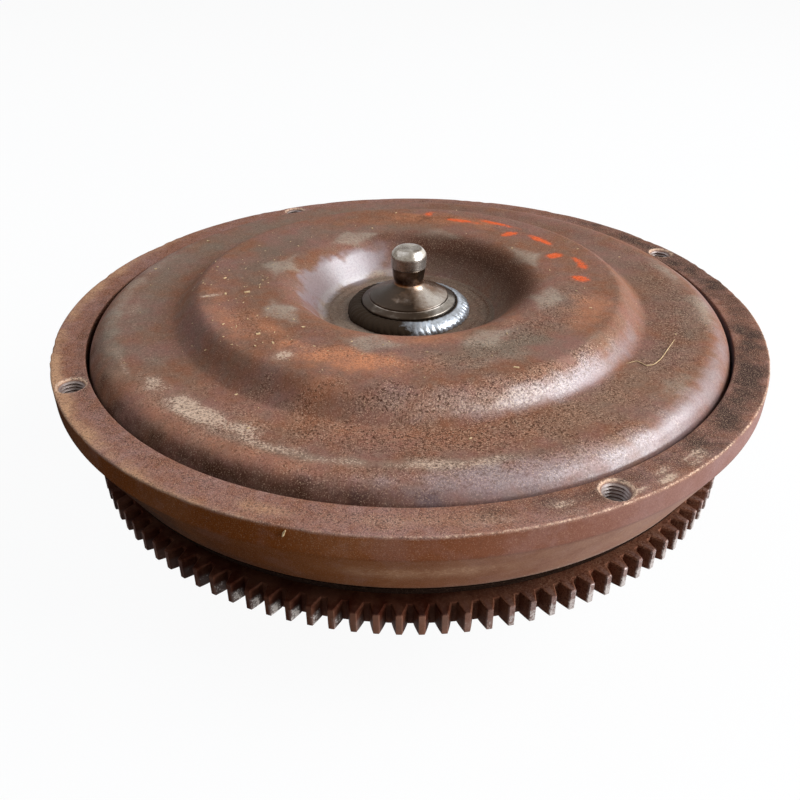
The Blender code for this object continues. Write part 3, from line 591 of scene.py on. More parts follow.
@dataclass(frozen=True)
class RustedSteel:
    """Rusted steel: clouds of three browns with pale specks and pits, under layers that follow the piece's masks,
    which carry painted shade, painted light and a painted reflection tint as well.
    """

    name: str
    brown: Colour
    mauve: Colour
    olive: Colour = (0.205, 0.148, 0.106)
    orange: Colour = (0.60, 0.235, 0.115)
    soot_and_painted_shade_tone: Colour = (0.066, 0.027, 0.015)
    # A painted reflection tint, mixed into the base colour on polished places.
    painted_sheen: Colour = (0.185, 0.146, 0.165)
    bare_and_painted_light: Colour = (0.40, 0.32, 0.24)
    pale: Colour = (0.70, 0.50, 0.36)
    fleck: Colour = (0.60, 0.38, 0.25)
    painted: Colour = (0.80, 0.125, 0.035)
    grain: float = 960.0
    specks: float = 1.3
    pits: float = 0.4
    shadows: float = 0.6
    relief: float = 0.14
    dull: float = 0.6
    specular: float = 0.02
    metal: float = 0.2
    coat: float = 0.025
    gloss: float = 0.95

    def layers(self) -> Tuple[Tuple[Mask, Colour, float, float, float], ...]:
        """List the layers from the lowest: mask, colour, strength of the veil and of the specks, and their scale."""
        return (
            (Mask.OLIVE, self.olive, 1.10, 0.10, 500.0),
            (Mask.RUST, self.orange, 0.90, 0.25, 650.0),
            (Mask.SOOT_AND_PAINTED_SHADE, self.soot_and_painted_shade_tone, 0.85, 0.12, 600.0),
            (Mask.BARE_AND_PAINTED_LIGHT, self.bare_and_painted_light, 0.62, 0.22, 900.0),
            (Mask.PALE, self.pale, 0.30, 0.62, 1000.0),
            # The pale tone also paints the glints and highlights that the edge mask carries.
            (Mask.EDGE_AND_PAINTED_GLINT, self.pale, 0.35, 0.60, 1000.0),
            (Mask.PAINT, self.painted, 0.75, 0.45, 700.0),
        )

    def build(self, effects: SharedEffects) -> bpy.types.Material:
        """Wire the material.

        Args:
            effects: the shared node groups.

        Returns:
            The material.
        """
        material, graph, shader = new_material(self.name)
        place = graph.place()
        # The stain attribute is painted shade: it darkens its places towards the dark tone and takes the polished
        # gloss and the painted reflection tint away there.
        painted_shade_mask = graph.mask(Mask.PAINTED_SHADE)
        stain = graph.times(painted_shade_mask, 0.9)
        polish_and_painted_sheen = graph.times(graph.mask(Mask.POLISH_AND_PAINTED_SHEEN), graph.less(1.0, painted_shade_mask), clamp=True)
        grit = graph.plus(0.1, graph.times(graph.mask(Mask.GRIT), 1.9))
        coarse = graph.times(grit, graph.less(1.0, graph.times(polish_and_painted_sheen, 0.75), clamp=True))
        specks, pits = graph.times(coarse, self.specks), graph.times(coarse, self.pits)
        grain = graph.use(effects.grain, Vector=place, Scale=self.grain, Specks=specks, Pits=pits)

        colour = graph.mix(grain["Blotch"], self.brown, self.mauve)
        colour = graph.mix(graph.times(grain["Cloud"], 0.4), colour, self.olive)
        amounts: Dict[Mask, Socket] = {}
        for mask, tone, veil, flecks, scale in self.layers():
            feeds = {"Mask": graph.mask(mask), "Vector": place, "Scale": scale, "Veil": veil, "Specks": flecks}
            amounts[mask] = graph.use(effects.layer, **feeds)["Amount"]
            colour = graph.mix(amounts[mask], colour, tone)
        dark = graph.times(graph.step(grain["Height"], 0.54, 0.38), coarse)
        # Over the layers: painted shade, the painted reflection tint, the grain's hollows as shadows, flecks and pits.
        for share, tone in (
            (stain, self.soot_and_painted_shade_tone),
            (graph.times(polish_and_painted_sheen, 0.6), self.painted_sheen),
            (graph.times(dark, self.shadows, clamp=True), self.soot_and_painted_shade_tone),
            (graph.times(grain["Speck"], 0.7), self.fleck),
            (grain["Pit"], self.soot_and_painted_shade_tone),
        ):
            colour = graph.mix(share, colour, tone)

        rough = graph.plus(self.dull, graph.times(grain["Height"], 0.2))
        metal = graph.most(amounts[Mask.BARE_AND_PAINTED_LIGHT], amounts[Mask.EDGE_AND_PAINTED_GLINT])
        shine = graph.plus(self.coat, graph.times(polish_and_painted_sheen, self.gloss))
        # Sooted, rusty and painted-shade places lose their coat gloss.
        dirt_and_painted_shade = graph.most(graph.most(amounts[Mask.SOOT_AND_PAINTED_SHADE], graph.times(amounts[Mask.RUST], 0.6)), stain)
        shine = graph.times(shine, graph.less(1.0, dirt_and_painted_shade))
        sparkle = graph.step(grain["Height"], 0.38, 0.62, -0.55, 0.25)
        sparkle = graph.plus(1.0, graph.times(sparkle, graph.math("MINIMUM", grit, 1.0)))
        graph.feed(shader, {
            "Base Color": colour,
            "Roughness": graph.less(rough, graph.times(polish_and_painted_sheen, 0.16), clamp=True),
            "Metallic": graph.times(metal, self.metal),
            "Coat Weight": graph.times(shine, sparkle, clamp=True),
            "Specular IOR Level": self.specular,
            "Coat IOR": 2.0,
            "Coat Roughness": 0.36,
            "Normal": graph.bump(graph.times(grain["Height"], grit), self.relief, 0.0006),
        })
        return material


@dataclass(frozen=True)
class TurnedSteel:
    """Bare turned steel: circles of turning marks, stains in blotches, and masks for heat tints, bronze and sooting,
    which on the pilot also paint shade and a highlight.
    """

    name: str
    steel: Colour
    stain: Colour
    rough: float = 0.3
    marks: float = 2600.0
    relief: float = 0.12
    stains: float = 0.5
    tint: Colour = (0.092, 0.064, 0.041)
    bronze: Colour = (0.24, 0.100, 0.036)
    soot_and_painted_shade_tone: Colour = (0.028, 0.017, 0.010)

    def build(self, effects: SharedEffects) -> bpy.types.Material:
        """Wire the material.

        Args:
            effects: the shared node groups.

        Returns:
            The material.
        """
        material, graph, shader = new_material(self.name)
        place = graph.place()
        spin = graph.use(effects.spin, Vector=place, Scale=self.marks)["Marks"]
        grain = graph.use(effects.grain, Vector=place, Scale=1100.0, Specks=0.3, Pits=0.35)
        blotch = graph.times(grain["Cloud"], self.stains)
        colour = graph.mix(blotch, self.steel, self.stain)
        amount: Feed = 0.0
        for mask, tone in ((Mask.OLIVE, self.tint), (Mask.RUST, self.bronze), (Mask.SOOT_AND_PAINTED_SHADE, self.soot_and_painted_shade_tone)):
            feeds = {"Mask": graph.mask(mask), "Vector": place, "Scale": 500.0, "Veil": 1.0, "Specks": 0.1}
            amount = graph.use(effects.layer, **feeds)["Amount"]
            colour = graph.mix(amount, colour, tone)
        rough = graph.plus(self.rough, graph.times(graph.less(spin, 0.5), 0.25))
        height = graph.plus(spin, graph.times(grain["Height"], 0.35))
        graph.feed(shader, {
            "Base Color": graph.mix(graph.times(grain["Pit"], 0.6), colour, self.soot_and_painted_shade_tone),
            "Roughness": graph.plus(rough, graph.times(graph.plus(blotch, amount), 0.12), clamp=True),
            "Metallic": 0.92,
            "Normal": graph.bump(height, self.relief, 0.0004),
        })
        return material


@dataclass(frozen=True)
class ScaledMetal:
    """Weld metal or a casting: scaly metal with heat tints, and sooting that also paints shade."""

    name: str
    metal: Colour
    tint: Colour
    rough: float = 0.34
    grain: float = 700.0
    relief: float = 0.3
    metallic: float = 0.85
    soot_and_painted_shade_tone: Colour = (0.028, 0.016, 0.008)

    def build(self, effects: SharedEffects) -> bpy.types.Material:
        """Wire the material.

        Args:
            effects: the shared node groups.

        Returns:
            The material.
        """
        material, graph, shader = new_material(self.name)
        place = graph.place()
        grain = graph.use(effects.grain, Vector=place, Scale=self.grain, Specks=0.5, Pits=0.6)
        feeds = {"Mask": graph.mask(Mask.SOOT_AND_PAINTED_SHADE), "Vector": place, "Scale": 900.0, "Veil": 1.8, "Specks": 0.1}
        soot_and_painted_shade = graph.use(effects.layer, **feeds)["Amount"]
        colour = graph.mix(grain["Cloud"], self.metal, self.tint)
        for share in (grain["Pit"], soot_and_painted_shade):
            colour = graph.mix(share, colour, self.soot_and_painted_shade_tone)
        rough = graph.plus(self.rough, graph.times(grain["Height"], 0.2))
        graph.feed(shader, {
            "Base Color": colour,
            "Roughness": graph.plus(rough, graph.times(soot_and_painted_shade, 0.4), clamp=True),
            "Metallic": self.metallic,
            "Normal": graph.bump(grain["Height"], self.relief, 0.0006),
        })
        return material


@dataclass(frozen=True)
class WoodScrap:
    """Pale wood dust and straw."""

    name: str
    light: Colour
    dark: Colour

    def build(self, effects: SharedEffects) -> bpy.types.Material:
        """Wire the material.

        Args:
            effects: the shared node groups, none of which it needs.

        Returns:
            The material.
        """
        material, graph, shader = new_material(self.name)
        tone = graph.step(graph.noise(graph.place(), 500.0, 3.0), 0.3, 0.7)
        graph.feed(shader, {"Base Color": graph.mix(tone, self.light, self.dark), "Roughness": 0.75})
        return material


Finish = Union[RustedSteel, TurnedSteel, ScaledMetal, WoodScrap]

FINISHES: Tuple[Finish, ...] = (
    RustedSteel("rusty_pressed_steel", (0.250, 0.102, 0.055), (0.262, 0.124, 0.094)),
    RustedSteel(
        "rusty_ring_steel", (0.32, 0.148, 0.100), (0.34, 0.178, 0.142), olive=(0.225, 0.060, 0.011),
        soot_and_painted_shade_tone=(0.066, 0.040, 0.032), orange=(0.57, 0.31, 0.17), specks=1.0, pits=0.12, shadows=0.42, grain=1150.0,
        relief=0.4, specular=0.0, coat=0.0, gloss=0.4, metal=0.6,
    ),
    RustedSteel(
        "dark_gear_steel", (0.235, 0.092, 0.050), (0.190, 0.080, 0.046), olive=(0.11, 0.055, 0.032),
        # Its pale tone is bright for the painted glints on the teeth.
        soot_and_painted_shade_tone=(0.044, 0.009, 0.004), specks=0.25, bare_and_painted_light=(0.3, 0.25, 0.21), pale=(0.74, 0.68, 0.63), dull=0.45,
        specular=0.03, metal=0.8, coat=0.0, gloss=0.1,
    ),
    # Near-black weld metal: painted shade for the weld runs under the ring, over the gear.
    RustedSteel(
        "painted_shade_weld_metal", (0.013, 0.006, 0.004), (0.022, 0.011, 0.008), olive=(0.02, 0.011, 0.007),
        specular=0.0, coat=0.0,
    ),
    TurnedSteel("bright_turned_steel", (0.78, 0.73, 0.66), (0.60, 0.52, 0.42), rough=0.22, relief=0.08),
    TurnedSteel("machined_hub_steel", (0.50, 0.49, 0.47), (0.36, 0.31, 0.26), rough=0.34),
    TurnedSteel("hardened_steel", (0.48, 0.48, 0.49), (0.38, 0.36, 0.34), rough=0.22, stains=0.3),
    TurnedSteel("spring_steel", (0.25, 0.28, 0.36), (0.30, 0.25, 0.20), rough=0.28, stains=0.4),
    TurnedSteel("bronze_washer", (0.56, 0.38, 0.19), (0.38, 0.25, 0.13), rough=0.36),
    ScaledMetal("weld_metal", (0.56, 0.60, 0.65), (0.30, 0.31, 0.32), rough=0.28),
    ScaledMetal("oiled_sheet_steel", (0.38, 0.37, 0.35), (0.27, 0.24, 0.20), relief=0.1, metallic=0.9),
    ScaledMetal("cast_aluminium", (0.62, 0.62, 0.60), (0.52, 0.51, 0.48), rough=0.5, relief=0.45),
    WoodScrap("wood_dust", (0.72, 0.52, 0.28), (0.5, 0.33, 0.16)),
)


# Pieces


class Workshop:
    """Builds the finishes once, and dresses pieces with them."""

    def __init__(self) -> None:
        """Build the finishes."""
        effects = SharedEffects()
        self.finishes = {finish.name: finish.build(effects) for finish in FINISHES}
        self.replaced: List[str] = []

    def dress(self, obj: bpy.types.Object, slot: str, node: str = "", finish: str = "") -> None:
        """Give a new piece on the housing its finish, named by its record slot unless another is given, and let it
        stand for a CAD node.

        Args:
            obj: the piece.
            slot: the record's material slot.
            node: the CAD node that it replaces, if any.
            finish: the finish's name, where it isn't the slot's.
        """
        obj.data.materials.clear()
        obj.data.materials.append(self.finishes[finish or slot])
        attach(obj, HOUSING)
        if node:
            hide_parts(node)
            self.replaced.append(node)
        LOG.info("%s: %d points", obj.name, len(obj.data.vertices))

    def fillet(self, name: str, node: str, corner: Sequence[float], size: float, count: int) -> None:
        """Run a plain weld of quarter-round section under a corner, in near-black metal that paints the shade it lies
        in.

        Args:
            name: the piece's name.
            node: the CAD node that it replaces.
            corner: the corner's radius and height.
            size: the section's radius.
            count: points on its round side.
        """
        section = np.concatenate([[corner], arc(corner, (size, size), 0.0, -90.0, count)])
        self.dress(lathe(section, 360).to_object(name), "weld_metal", node, "painted_shade_weld_metal")

    def dress_inner(self, nodes: Dict[str, bpy.types.Object], record: dict) -> None:
        """Give each CAD node that no new piece stands for the finish of its record slot.

        Args:
            nodes: the CAD nodes.
            record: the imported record.
        """
        slots = {row["node"]: row["material_slot"] for row in record["subparts"]}
        for name in sorted(set(nodes) - set(self.replaced)):
            materials = nodes[name].data.materials
            materials.clear()
            materials.append(self.finishes[slots[name]])
            LOG.info("%s: %s", name, slots[name])


@dataclass
class FrontCover:
    """The pressed cover: dish, crown, plateau, rounded shoulder and wall."""

    bore: float = 0.0123
    dish: float = 0.0403
    dish_edge: float = 0.0007
    bend: float = 0.016
    tilt: float = 50.0
    crown_in: float = 0.0612
    crown_out: float = 0.0940
    crown_height: float = 0.016
    foot: float = 0.1085
    plateau: float = 0.0061
    shoulder: float = 0.013
    outer: float = 0.1434
    swell: float = 0.0016
    swell_end: float = 0.0077
    wall_start: float = 0.0086
    depth: float = 0.040
    chamfer: float = 0.0008
    wall: float = 0.004
    step: float = 0.0014
    steps: int = 448

    def outside(self) -> Array:
        """Give the outer profile from the bore to the lower edge; the crown falls to the plateau as 1 + cos does."""
        fall = np.linspace(0.0, 1.0, 28)
        slope_r = self.crown_out + (self.foot - self.crown_out) * fall
        slope_z = self.plateau + (self.crown_height - self.plateau) * (0.5 + 0.5 * np.cos(np.pi * fall))
        wide = self.outer + self.swell
        edge, tilt = self.dish_edge, math.radians(self.tilt)
        t = np.linspace(0.0, 1.0, 6)[:, None]
        rise = [edge * math.cos(tilt), edge * math.sin(tilt)]
        ball = (self.shoulder, self.shoulder)
        return np.concatenate([
            [[self.bore, 0.0]],
            np.array([self.dish, 0.0]) + (1 - t) ** 2 * [-edge, 0.0] + t ** 2 * rise,
            arc((self.crown_in, self.crown_height - self.bend), (self.bend, self.bend), 90.0 + self.tilt, 90.0, 22),
            np.stack([slope_r, slope_z], 1),
            arc((wide - self.shoulder, self.plateau - self.shoulder), ball, 90.0, 0.0, 22),
            [[wide, -self.swell_end], [self.outer, -self.wall_start]],
            [[self.outer, -self.depth + self.chamfer], [self.outer - self.chamfer, -self.depth]],
        ])

    def profile(self) -> Array:
        """Give the closed section."""
        outside = refined(self.outside(), self.step)
        low, high = (self.bore, -self.depth), (self.outer - self.wall, np.inf)
        return walled(outside, self.wall, low, high) + [0.0, RING_TOP]

    @staticmethod
    def patches() -> List[Patch]:
        """List the marks on the cover: its clouds, among them painted shade and polished places that carry a painted
        reflection tint, eight hollow diamonds and strokes of paint.
        """
        clouds = {
            Mask.OLIVE: (
                (76, -62, 15, 48, 0.85), (74, -20, 12, 30, 0.5), (76, 140, 12, 55, 0.5), (118, -50, 13, 80, 0.7),
                (118, 8, 13, 80, 0.45), (134, -162, 9, 55, 0.8), (131, -110, 4, 90, 0.55), (131, -82, 5, 50, 0.6),
                (118, 95, 11, 130, 0.4), (126, -8, 12, 60, 0.6), (66, 95, 9, 40, 0.5), (122, 150, 17, 190, 0.7),
                (74, 158, 14, 66, 0.65), (60, -61, 5, 17, 0.9),
            ),
            Mask.RUST: (
                (80, -107, 12, 44, 1.0), (87, -150, 10, 40, 0.5), (84, -24, 14, 24, 0.55), (80, 80, 11, 58, 1.0),
                (59, -80, 9, 50, 0.45), (114, -100, 11, 80, 0.28), (98, -108, 6, 20, 0.35), (136, -122, 7, 90, 0.42),
                (118, -72, 13, 110, 0.25), (76, -140, 8, 22, 0.5),
            ),
            # Sooting; the rows at 99/-148, 139/-168 and 101/168 paint shade on the left, turned from the lamps, and
            # the row at 106.5/-105 paints shade in the crease at the crown's foot.
            Mask.SOOT_AND_PAINTED_SHADE: (
                (99, -148, 7, 75, 0.08), (106.5, -105, 2.2, 130, 0.28), (142.5, -118, 5, 150, 0.95),
                (118, -70, 16, 130, 0.16), (80, 80, 13, 70, 0.75), (139, -168, 5, 60, 0.2), (60, -60, 4, 15, 0.4),
                (126, 72, 12, 70, 0.36), (122, 45, 14, 60, 0.15), (72, 160, 12, 60, 0.18), (118, 0, 18, 130, 0.3),
                (121, 50, 13, 90, 0.3), (101, 168, 6, 50, 0.3), (140, -80, 3.5, 60, 0.25), (34, 190, 5, 24, 0.5),
                (97, -38, 4, 30, 0.35), (56, 105, 6, 24, 0.45),
            ),
            Mask.BARE_AND_PAINTED_LIGHT: (
                (134, -6, 6, 22, 0.95), (132, 12, 5, 26, 0.8), (130, -38, 7, 20, 0.6), (84, -66, 5, 22, 0.35),
                (134, 176, 7, 84, 0.62), (94, -38, 3, 8, 0.5),
            ),
            Mask.PALE: (
                (126, -129, 9, 48, 1.15), (127, -127, 13, 64, 0.3), (129.5, -112, 4, 27, 0.8),
                (131.5, -85, 5, 42, 0.72), (131, -102, 4.5, 26, 0.62), (102.5, -68, 5, 44, 0.7),
                (101, -86, 4.5, 30, 0.5), (98, -45, 7, 42, 0.4), (91.5, -168.5, 8, 2.4, 0.85),
                (88, -124, 7, 5.5, 0.85), (132, -152, 2.5, 16, 0.5), (126, -176, 5, 15, 0.45), (137, -60, 7, 90, 0.42),
            ),
            # Polished places, set where the highlights fall: they add coat gloss and a painted reflection tint.
            Mask.POLISH_AND_PAINTED_SHEEN: (
                (140.5, -42, 8, 110, 0.8), (103.5, -54, 6, 80, 0.75), (45.5, 145, 8.5, 66, 1.7),
                (46, -165, 7, 32, 0.4), (139, -78, 9, 66, 0.8), (100, -80, 8, 34, 0.3), (140, 4, 6, 50, 0.4),
                (100, -8, 8, 40, 0.12),
            ),
            Mask.GRIT: (
                (100, -75, 10, 100, 1.0), (136, -76, 10, 120, 0.8), (116, -80, 19, 150, 0.85), (80, -75, 14, 60, 0.6),
                (120, -30, 16, 60, 0.4), (82, -150, 12, 50, 0.4), (122, -12, 20, 120, 0.65), (74, -40, 15, 80, 0.7),
                (128, -125, 14, 90, 0.6), (78, -110, 12, 50, 0.5),
            ),
        }
        spots = ((65, -148), (62, 166), (59, 118), (57, 74), (62, 24), (65, -20), (67, -62), (65, -104))
        diamonds = [(radius, azimuth, 11.5, 18.5, 0.8) for radius, azimuth in spots]
        strokes = (
            (86, 82, 5.0, 3.2, 1.3), (80, 68, 2.6, 10, 1.3), (85, 55, 2.4, 13, 1.3), (76, 46, 5.0, 3.2, 1.3),
            (82, 33, 2.6, 11, 1.3), (76, 20, 5.0, 3.2, 1.3), (84, 12, 2.6, 11, 1.3), (79, -1, 4.6, 4, 1.3),
        )
        return (
            patches_of(clouds)
            + patches_of({Mask.BARE_AND_PAINTED_LIGHT: diamonds}, power=0.85, soft=0.5, fray=0.2)
            + patches_of({Mask.PAINT: strokes}, power=2.6, soft=0.7, fray=0.4)
        )

    def wear(self, points: Array) -> Dict[Mask, Array]:
        """Work out from the cover's shape where it is sooted or rubbed, and where shade, shadow and light are painted
        on it.

        Args:
            points: the cover's points.

        Returns:
            Values for some masks.
        """
        radius, azimuth = polar(points)
        high = points[:, 2] - RING_TOP
        left, right = sector(azimuth, 165.0, 95.0, 60.0), sector(azimuth, 10.0, 110.0, 60.0)
        far = sector(azimuth, 35.0, 85.0, 40.0)
        # Painted shade on the wall down in the gap to the ring.
        groove = smooth(radius, 0.1425, 0.1433) * smooth(high, -0.0035, -0.0065)
        # Painted highlight, as bared metal, on the dish's left edge.
        lip = left * bell(radius, self.dish + 0.0014, 0.0014) * smooth(high, 0.004, 0.002)
        inside = smooth(radius, self.dish + 0.0012, self.dish - 0.0008)
        rings = bell(radius, 0.0375, 0.0009) + 0.7 * bell(radius, 0.033, 0.0007)
        # Painted shade on the wall under the ring's top.
        below = smooth(high, -0.012, -0.02)
        return {
            # Round the dish: its floor's right gets painted shadow and its left painted light, and its far wall
            # painted shade; the rings are sooted.
            Mask.SOOT_AND_PAINTED_SHADE: most(0.92 * groove, 0.2 * inside * right, inside * np.clip(0.75 * rings, 0.0, 0.65)),
            Mask.OLIVE: most(0.95 * inside, 0.55 * right * smooth(np.abs(radius - 0.0445), 0.007, 0.002)),
            Mask.BARE_AND_PAINTED_LIGHT: most(lip, 0.22 * inside * left),
            Mask.GRIT: np.full(len(points), 0.2),
            Mask.PAINTED_SHADE: most(1.08 * far * bell(radius, 0.0515, 0.0088), below, 0.25 * inside * right),
        }

    def build(self, shop: Workshop) -> None:
        """Turn the cover, buckle its skin by a tenth of a millimetre or so, and lay its marks.

        Args:
            shop: the finishes.
        """
        obj = lathe(self.profile(), self.steps).to_object("cover_skin", sharp=40.0)
        points = places_of(obj)
        radius = polar(points)[0]
        free = smooth(self.outer - radius, -0.001, 0.006) * smooth(radius, self.dish, self.crown_in)
        points[:, 2] += free * (0.00012 * waves(points, 0.055, 1) + 0.00005 * waves(points, 0.02, 2))
        move_points(obj, points)
        lay_patches(obj, self.patches(), self.wear(points))
        shop.dress(obj, "rusty_pressed_steel", "front_cover")


@dataclass
class Pilot:
    """The turned pilot boss and the bead that welds its disc into the dish."""

    pin: float = 0.0081
    bevel: float = 0.0024
    bevel_z: float = 0.0026
    top: float = 0.0310
    bright: float = 0.0222
    step: float = 0.0004
    taper_z: float = 0.0178
    waist: float = 0.0064
    waist_z: float = 0.0144
    flare: float = 0.0124
    flare_z: float = 0.0103
    cone: float = 0.0182
    cone_z: float = 0.0081
    disc: float = 0.0219
    rim: float = 0.0058
    spigot: float = 0.012
    spigot_z: float = -0.004
    gap: float = 0.0003
    bead: float = 0.0063
    bead_height: float = 0.0045
    bead_steps: int = 960
    ripples: int = 58

    def boss_profile(self) -> Array:
        """Give the boss's section: bevelled pin, step, taper to the waist, flared cone, disc and spigot."""
        low = self.pin - self.step
        corners = (
            (0.0, self.top, 0.0), (self.pin - self.bevel, self.top, 0.0012),
            (self.pin, self.top - self.bevel_z, 0.0014), (self.pin, self.bright, 0.0002),
            (low, self.bright - 0.0003, 0.0002), (low - 0.0004, self.taper_z, 0.0012),
            (self.waist, self.waist_z, 0.0010), (self.waist + 0.0018, 0.0126, 0.0010),
            (self.flare, self.flare_z, 0.0020), (self.cone, self.cone_z, 0.0003),
            (self.cone + 0.0002, self.cone_z - 0.0008, 0.0003),
            (self.disc, self.rim, 0.0007), (self.disc, self.gap, 0.0002), (self.spigot, self.gap, 0.0002),
            (self.spigot, self.spigot_z, 0.0003), (0.0, self.spigot_z, 0.0),
        )
        return softened(corners, 6) + [0.0, RING_TOP]

    def bead_surface(self) -> Surface:
        """Give the bead: a quarter-round section that swells in scales, as 1 + a |sin| of a skewed turn."""
        turn = turns(self.bead_steps)[:, None]
        share = np.linspace(0.0, 1.0, 17)[None, :]
        angle = np.radians(92.0 - 92.0 * share)
        skew = turn * self.ripples / 2 + 1.6 * np.sin(np.pi * share) + 0.5 * np.sin(5 * turn)
        lump = bell(turn, math.radians(203.0), 0.2)
        scale = 1.0 + 0.045 * (np.abs(np.sin(skew)) - 0.6) + 0.025 * np.sin(3 * turn + 0.7) + 0.14 * lump
        scale = scale + 0.014 * np.sin(53 * turn + 2.0 * share) + 0.012 * np.sin(19 * turn - 5.0 * share)
        inner, seat = self.disc + self.gap, RING_TOP + self.gap
        radius = inner + self.bead * scale * np.cos(angle)
        height = seat + np.maximum(self.bead_height * scale * np.sin(angle), 0.0)
        radius = np.concatenate([np.full_like(turn, inner), radius], 1)
        height = np.concatenate([np.full_like(turn, seat), height], 1)
        radius[:, 1] = np.maximum(radius[:, 1], inner)
        return Surface(around(radius, turn, height), grid_faces(*radius.shape, True))

    def boss_wear(self, points: Array) -> Dict[Mask, Array]:
        """Work out from the boss's shape where it is dull, bronzed or sooted, with painted shade on its left and a
        painted highlight on its right.

        Args:
            points: the boss's points.

        Returns:
            Values for the masks.
        """
        radius, azimuth = polar(points)
        high = points[:, 2] - RING_TOP
        low_pin = smooth(high, self.bright, self.bright - 0.0005) * smooth(high, self.waist_z - 0.0016, self.waist_z)
        disc = smooth(radius, self.cone + 0.0001, self.cone + 0.0006)
        cone = smooth(high, self.waist_z + 0.0006, self.waist_z - 0.001) * (1.0 - disc)
        collar = cone * smooth(high, self.cone_z + 0.0018, self.waist_z - 0.0016)
        line = bell(radius, self.cone + 0.0001, 0.0003) * smooth(high, self.cone_z + 0.001, self.cone_z)
        rim = smooth(high, self.rim - 0.0002, self.rim - 0.0014) * disc
        dark = low_pin * (0.4 + 0.4 * smooth(high, self.waist_z, self.waist_z + 0.0026))
        # Painted shade on the left of the cone and disc; the painted highlight lightens the cone 116 degrees round
        # from its left.
        left = apart(azimuth, 205.0)
        painted_shade_side = smooth(left, 104.0, 66.0) * most(cone, disc)
        painted_highlight = bell(left, 116.0, 26.0)
        # The pin's flat top is tinted darker, and its left gets painted shade.
        pin = smooth(high, self.bright - 0.0003, self.bright + 0.0001)
        flat = smooth(high, self.top - 0.0008, self.top - 0.0002)
        pin_tint_and_painted_shade = most(0.78 * flat, 0.86 * smooth(left, 98.0, 72.0)) * pin
        return {
            Mask.SOOT_AND_PAINTED_SHADE: most(dark, painted_shade_side, 0.8 * line, 0.8 * rim, 0.4 * disc),
            Mask.RUST: most(0.9 * low_pin, (0.5 * cone + 0.3 * collar) * (1.0 - 0.7 * painted_highlight)),
            Mask.OLIVE: most(most(0.95 * cone, disc) * (1.0 - 0.55 * painted_highlight), pin_tint_and_painted_shade),
        }

    def build(self, shop: Workshop) -> None:
        """Make the boss and its bead.

        Args:
            shop: the finishes.
        """
        boss = lathe(refined(self.boss_profile(), 0.0006), 160, closed=False).to_object("pilot_stub")
        set_masks(boss, self.boss_wear(places_of(boss)))
        shop.dress(boss, "bright_turned_steel", "pilot_boss")
        bead = self.bead_surface().to_object("pilot_weld_scales", sharp=60.0)
        radius, azimuth = polar(places_of(bead))
        seam = smooth(radius, self.disc + 0.0018, self.disc + 0.0006)
        # Painted shade on the bead's left, round azimuth 200, and sooting on the seam by the disc.
        set_masks(bead, {Mask.SOOT_AND_PAINTED_SHADE: most(sector(azimuth, 200.0, 92.0, 52.0), 0.9 * seam)})
        shop.dress(bead, "weld_metal", "pilot_weld_bead")


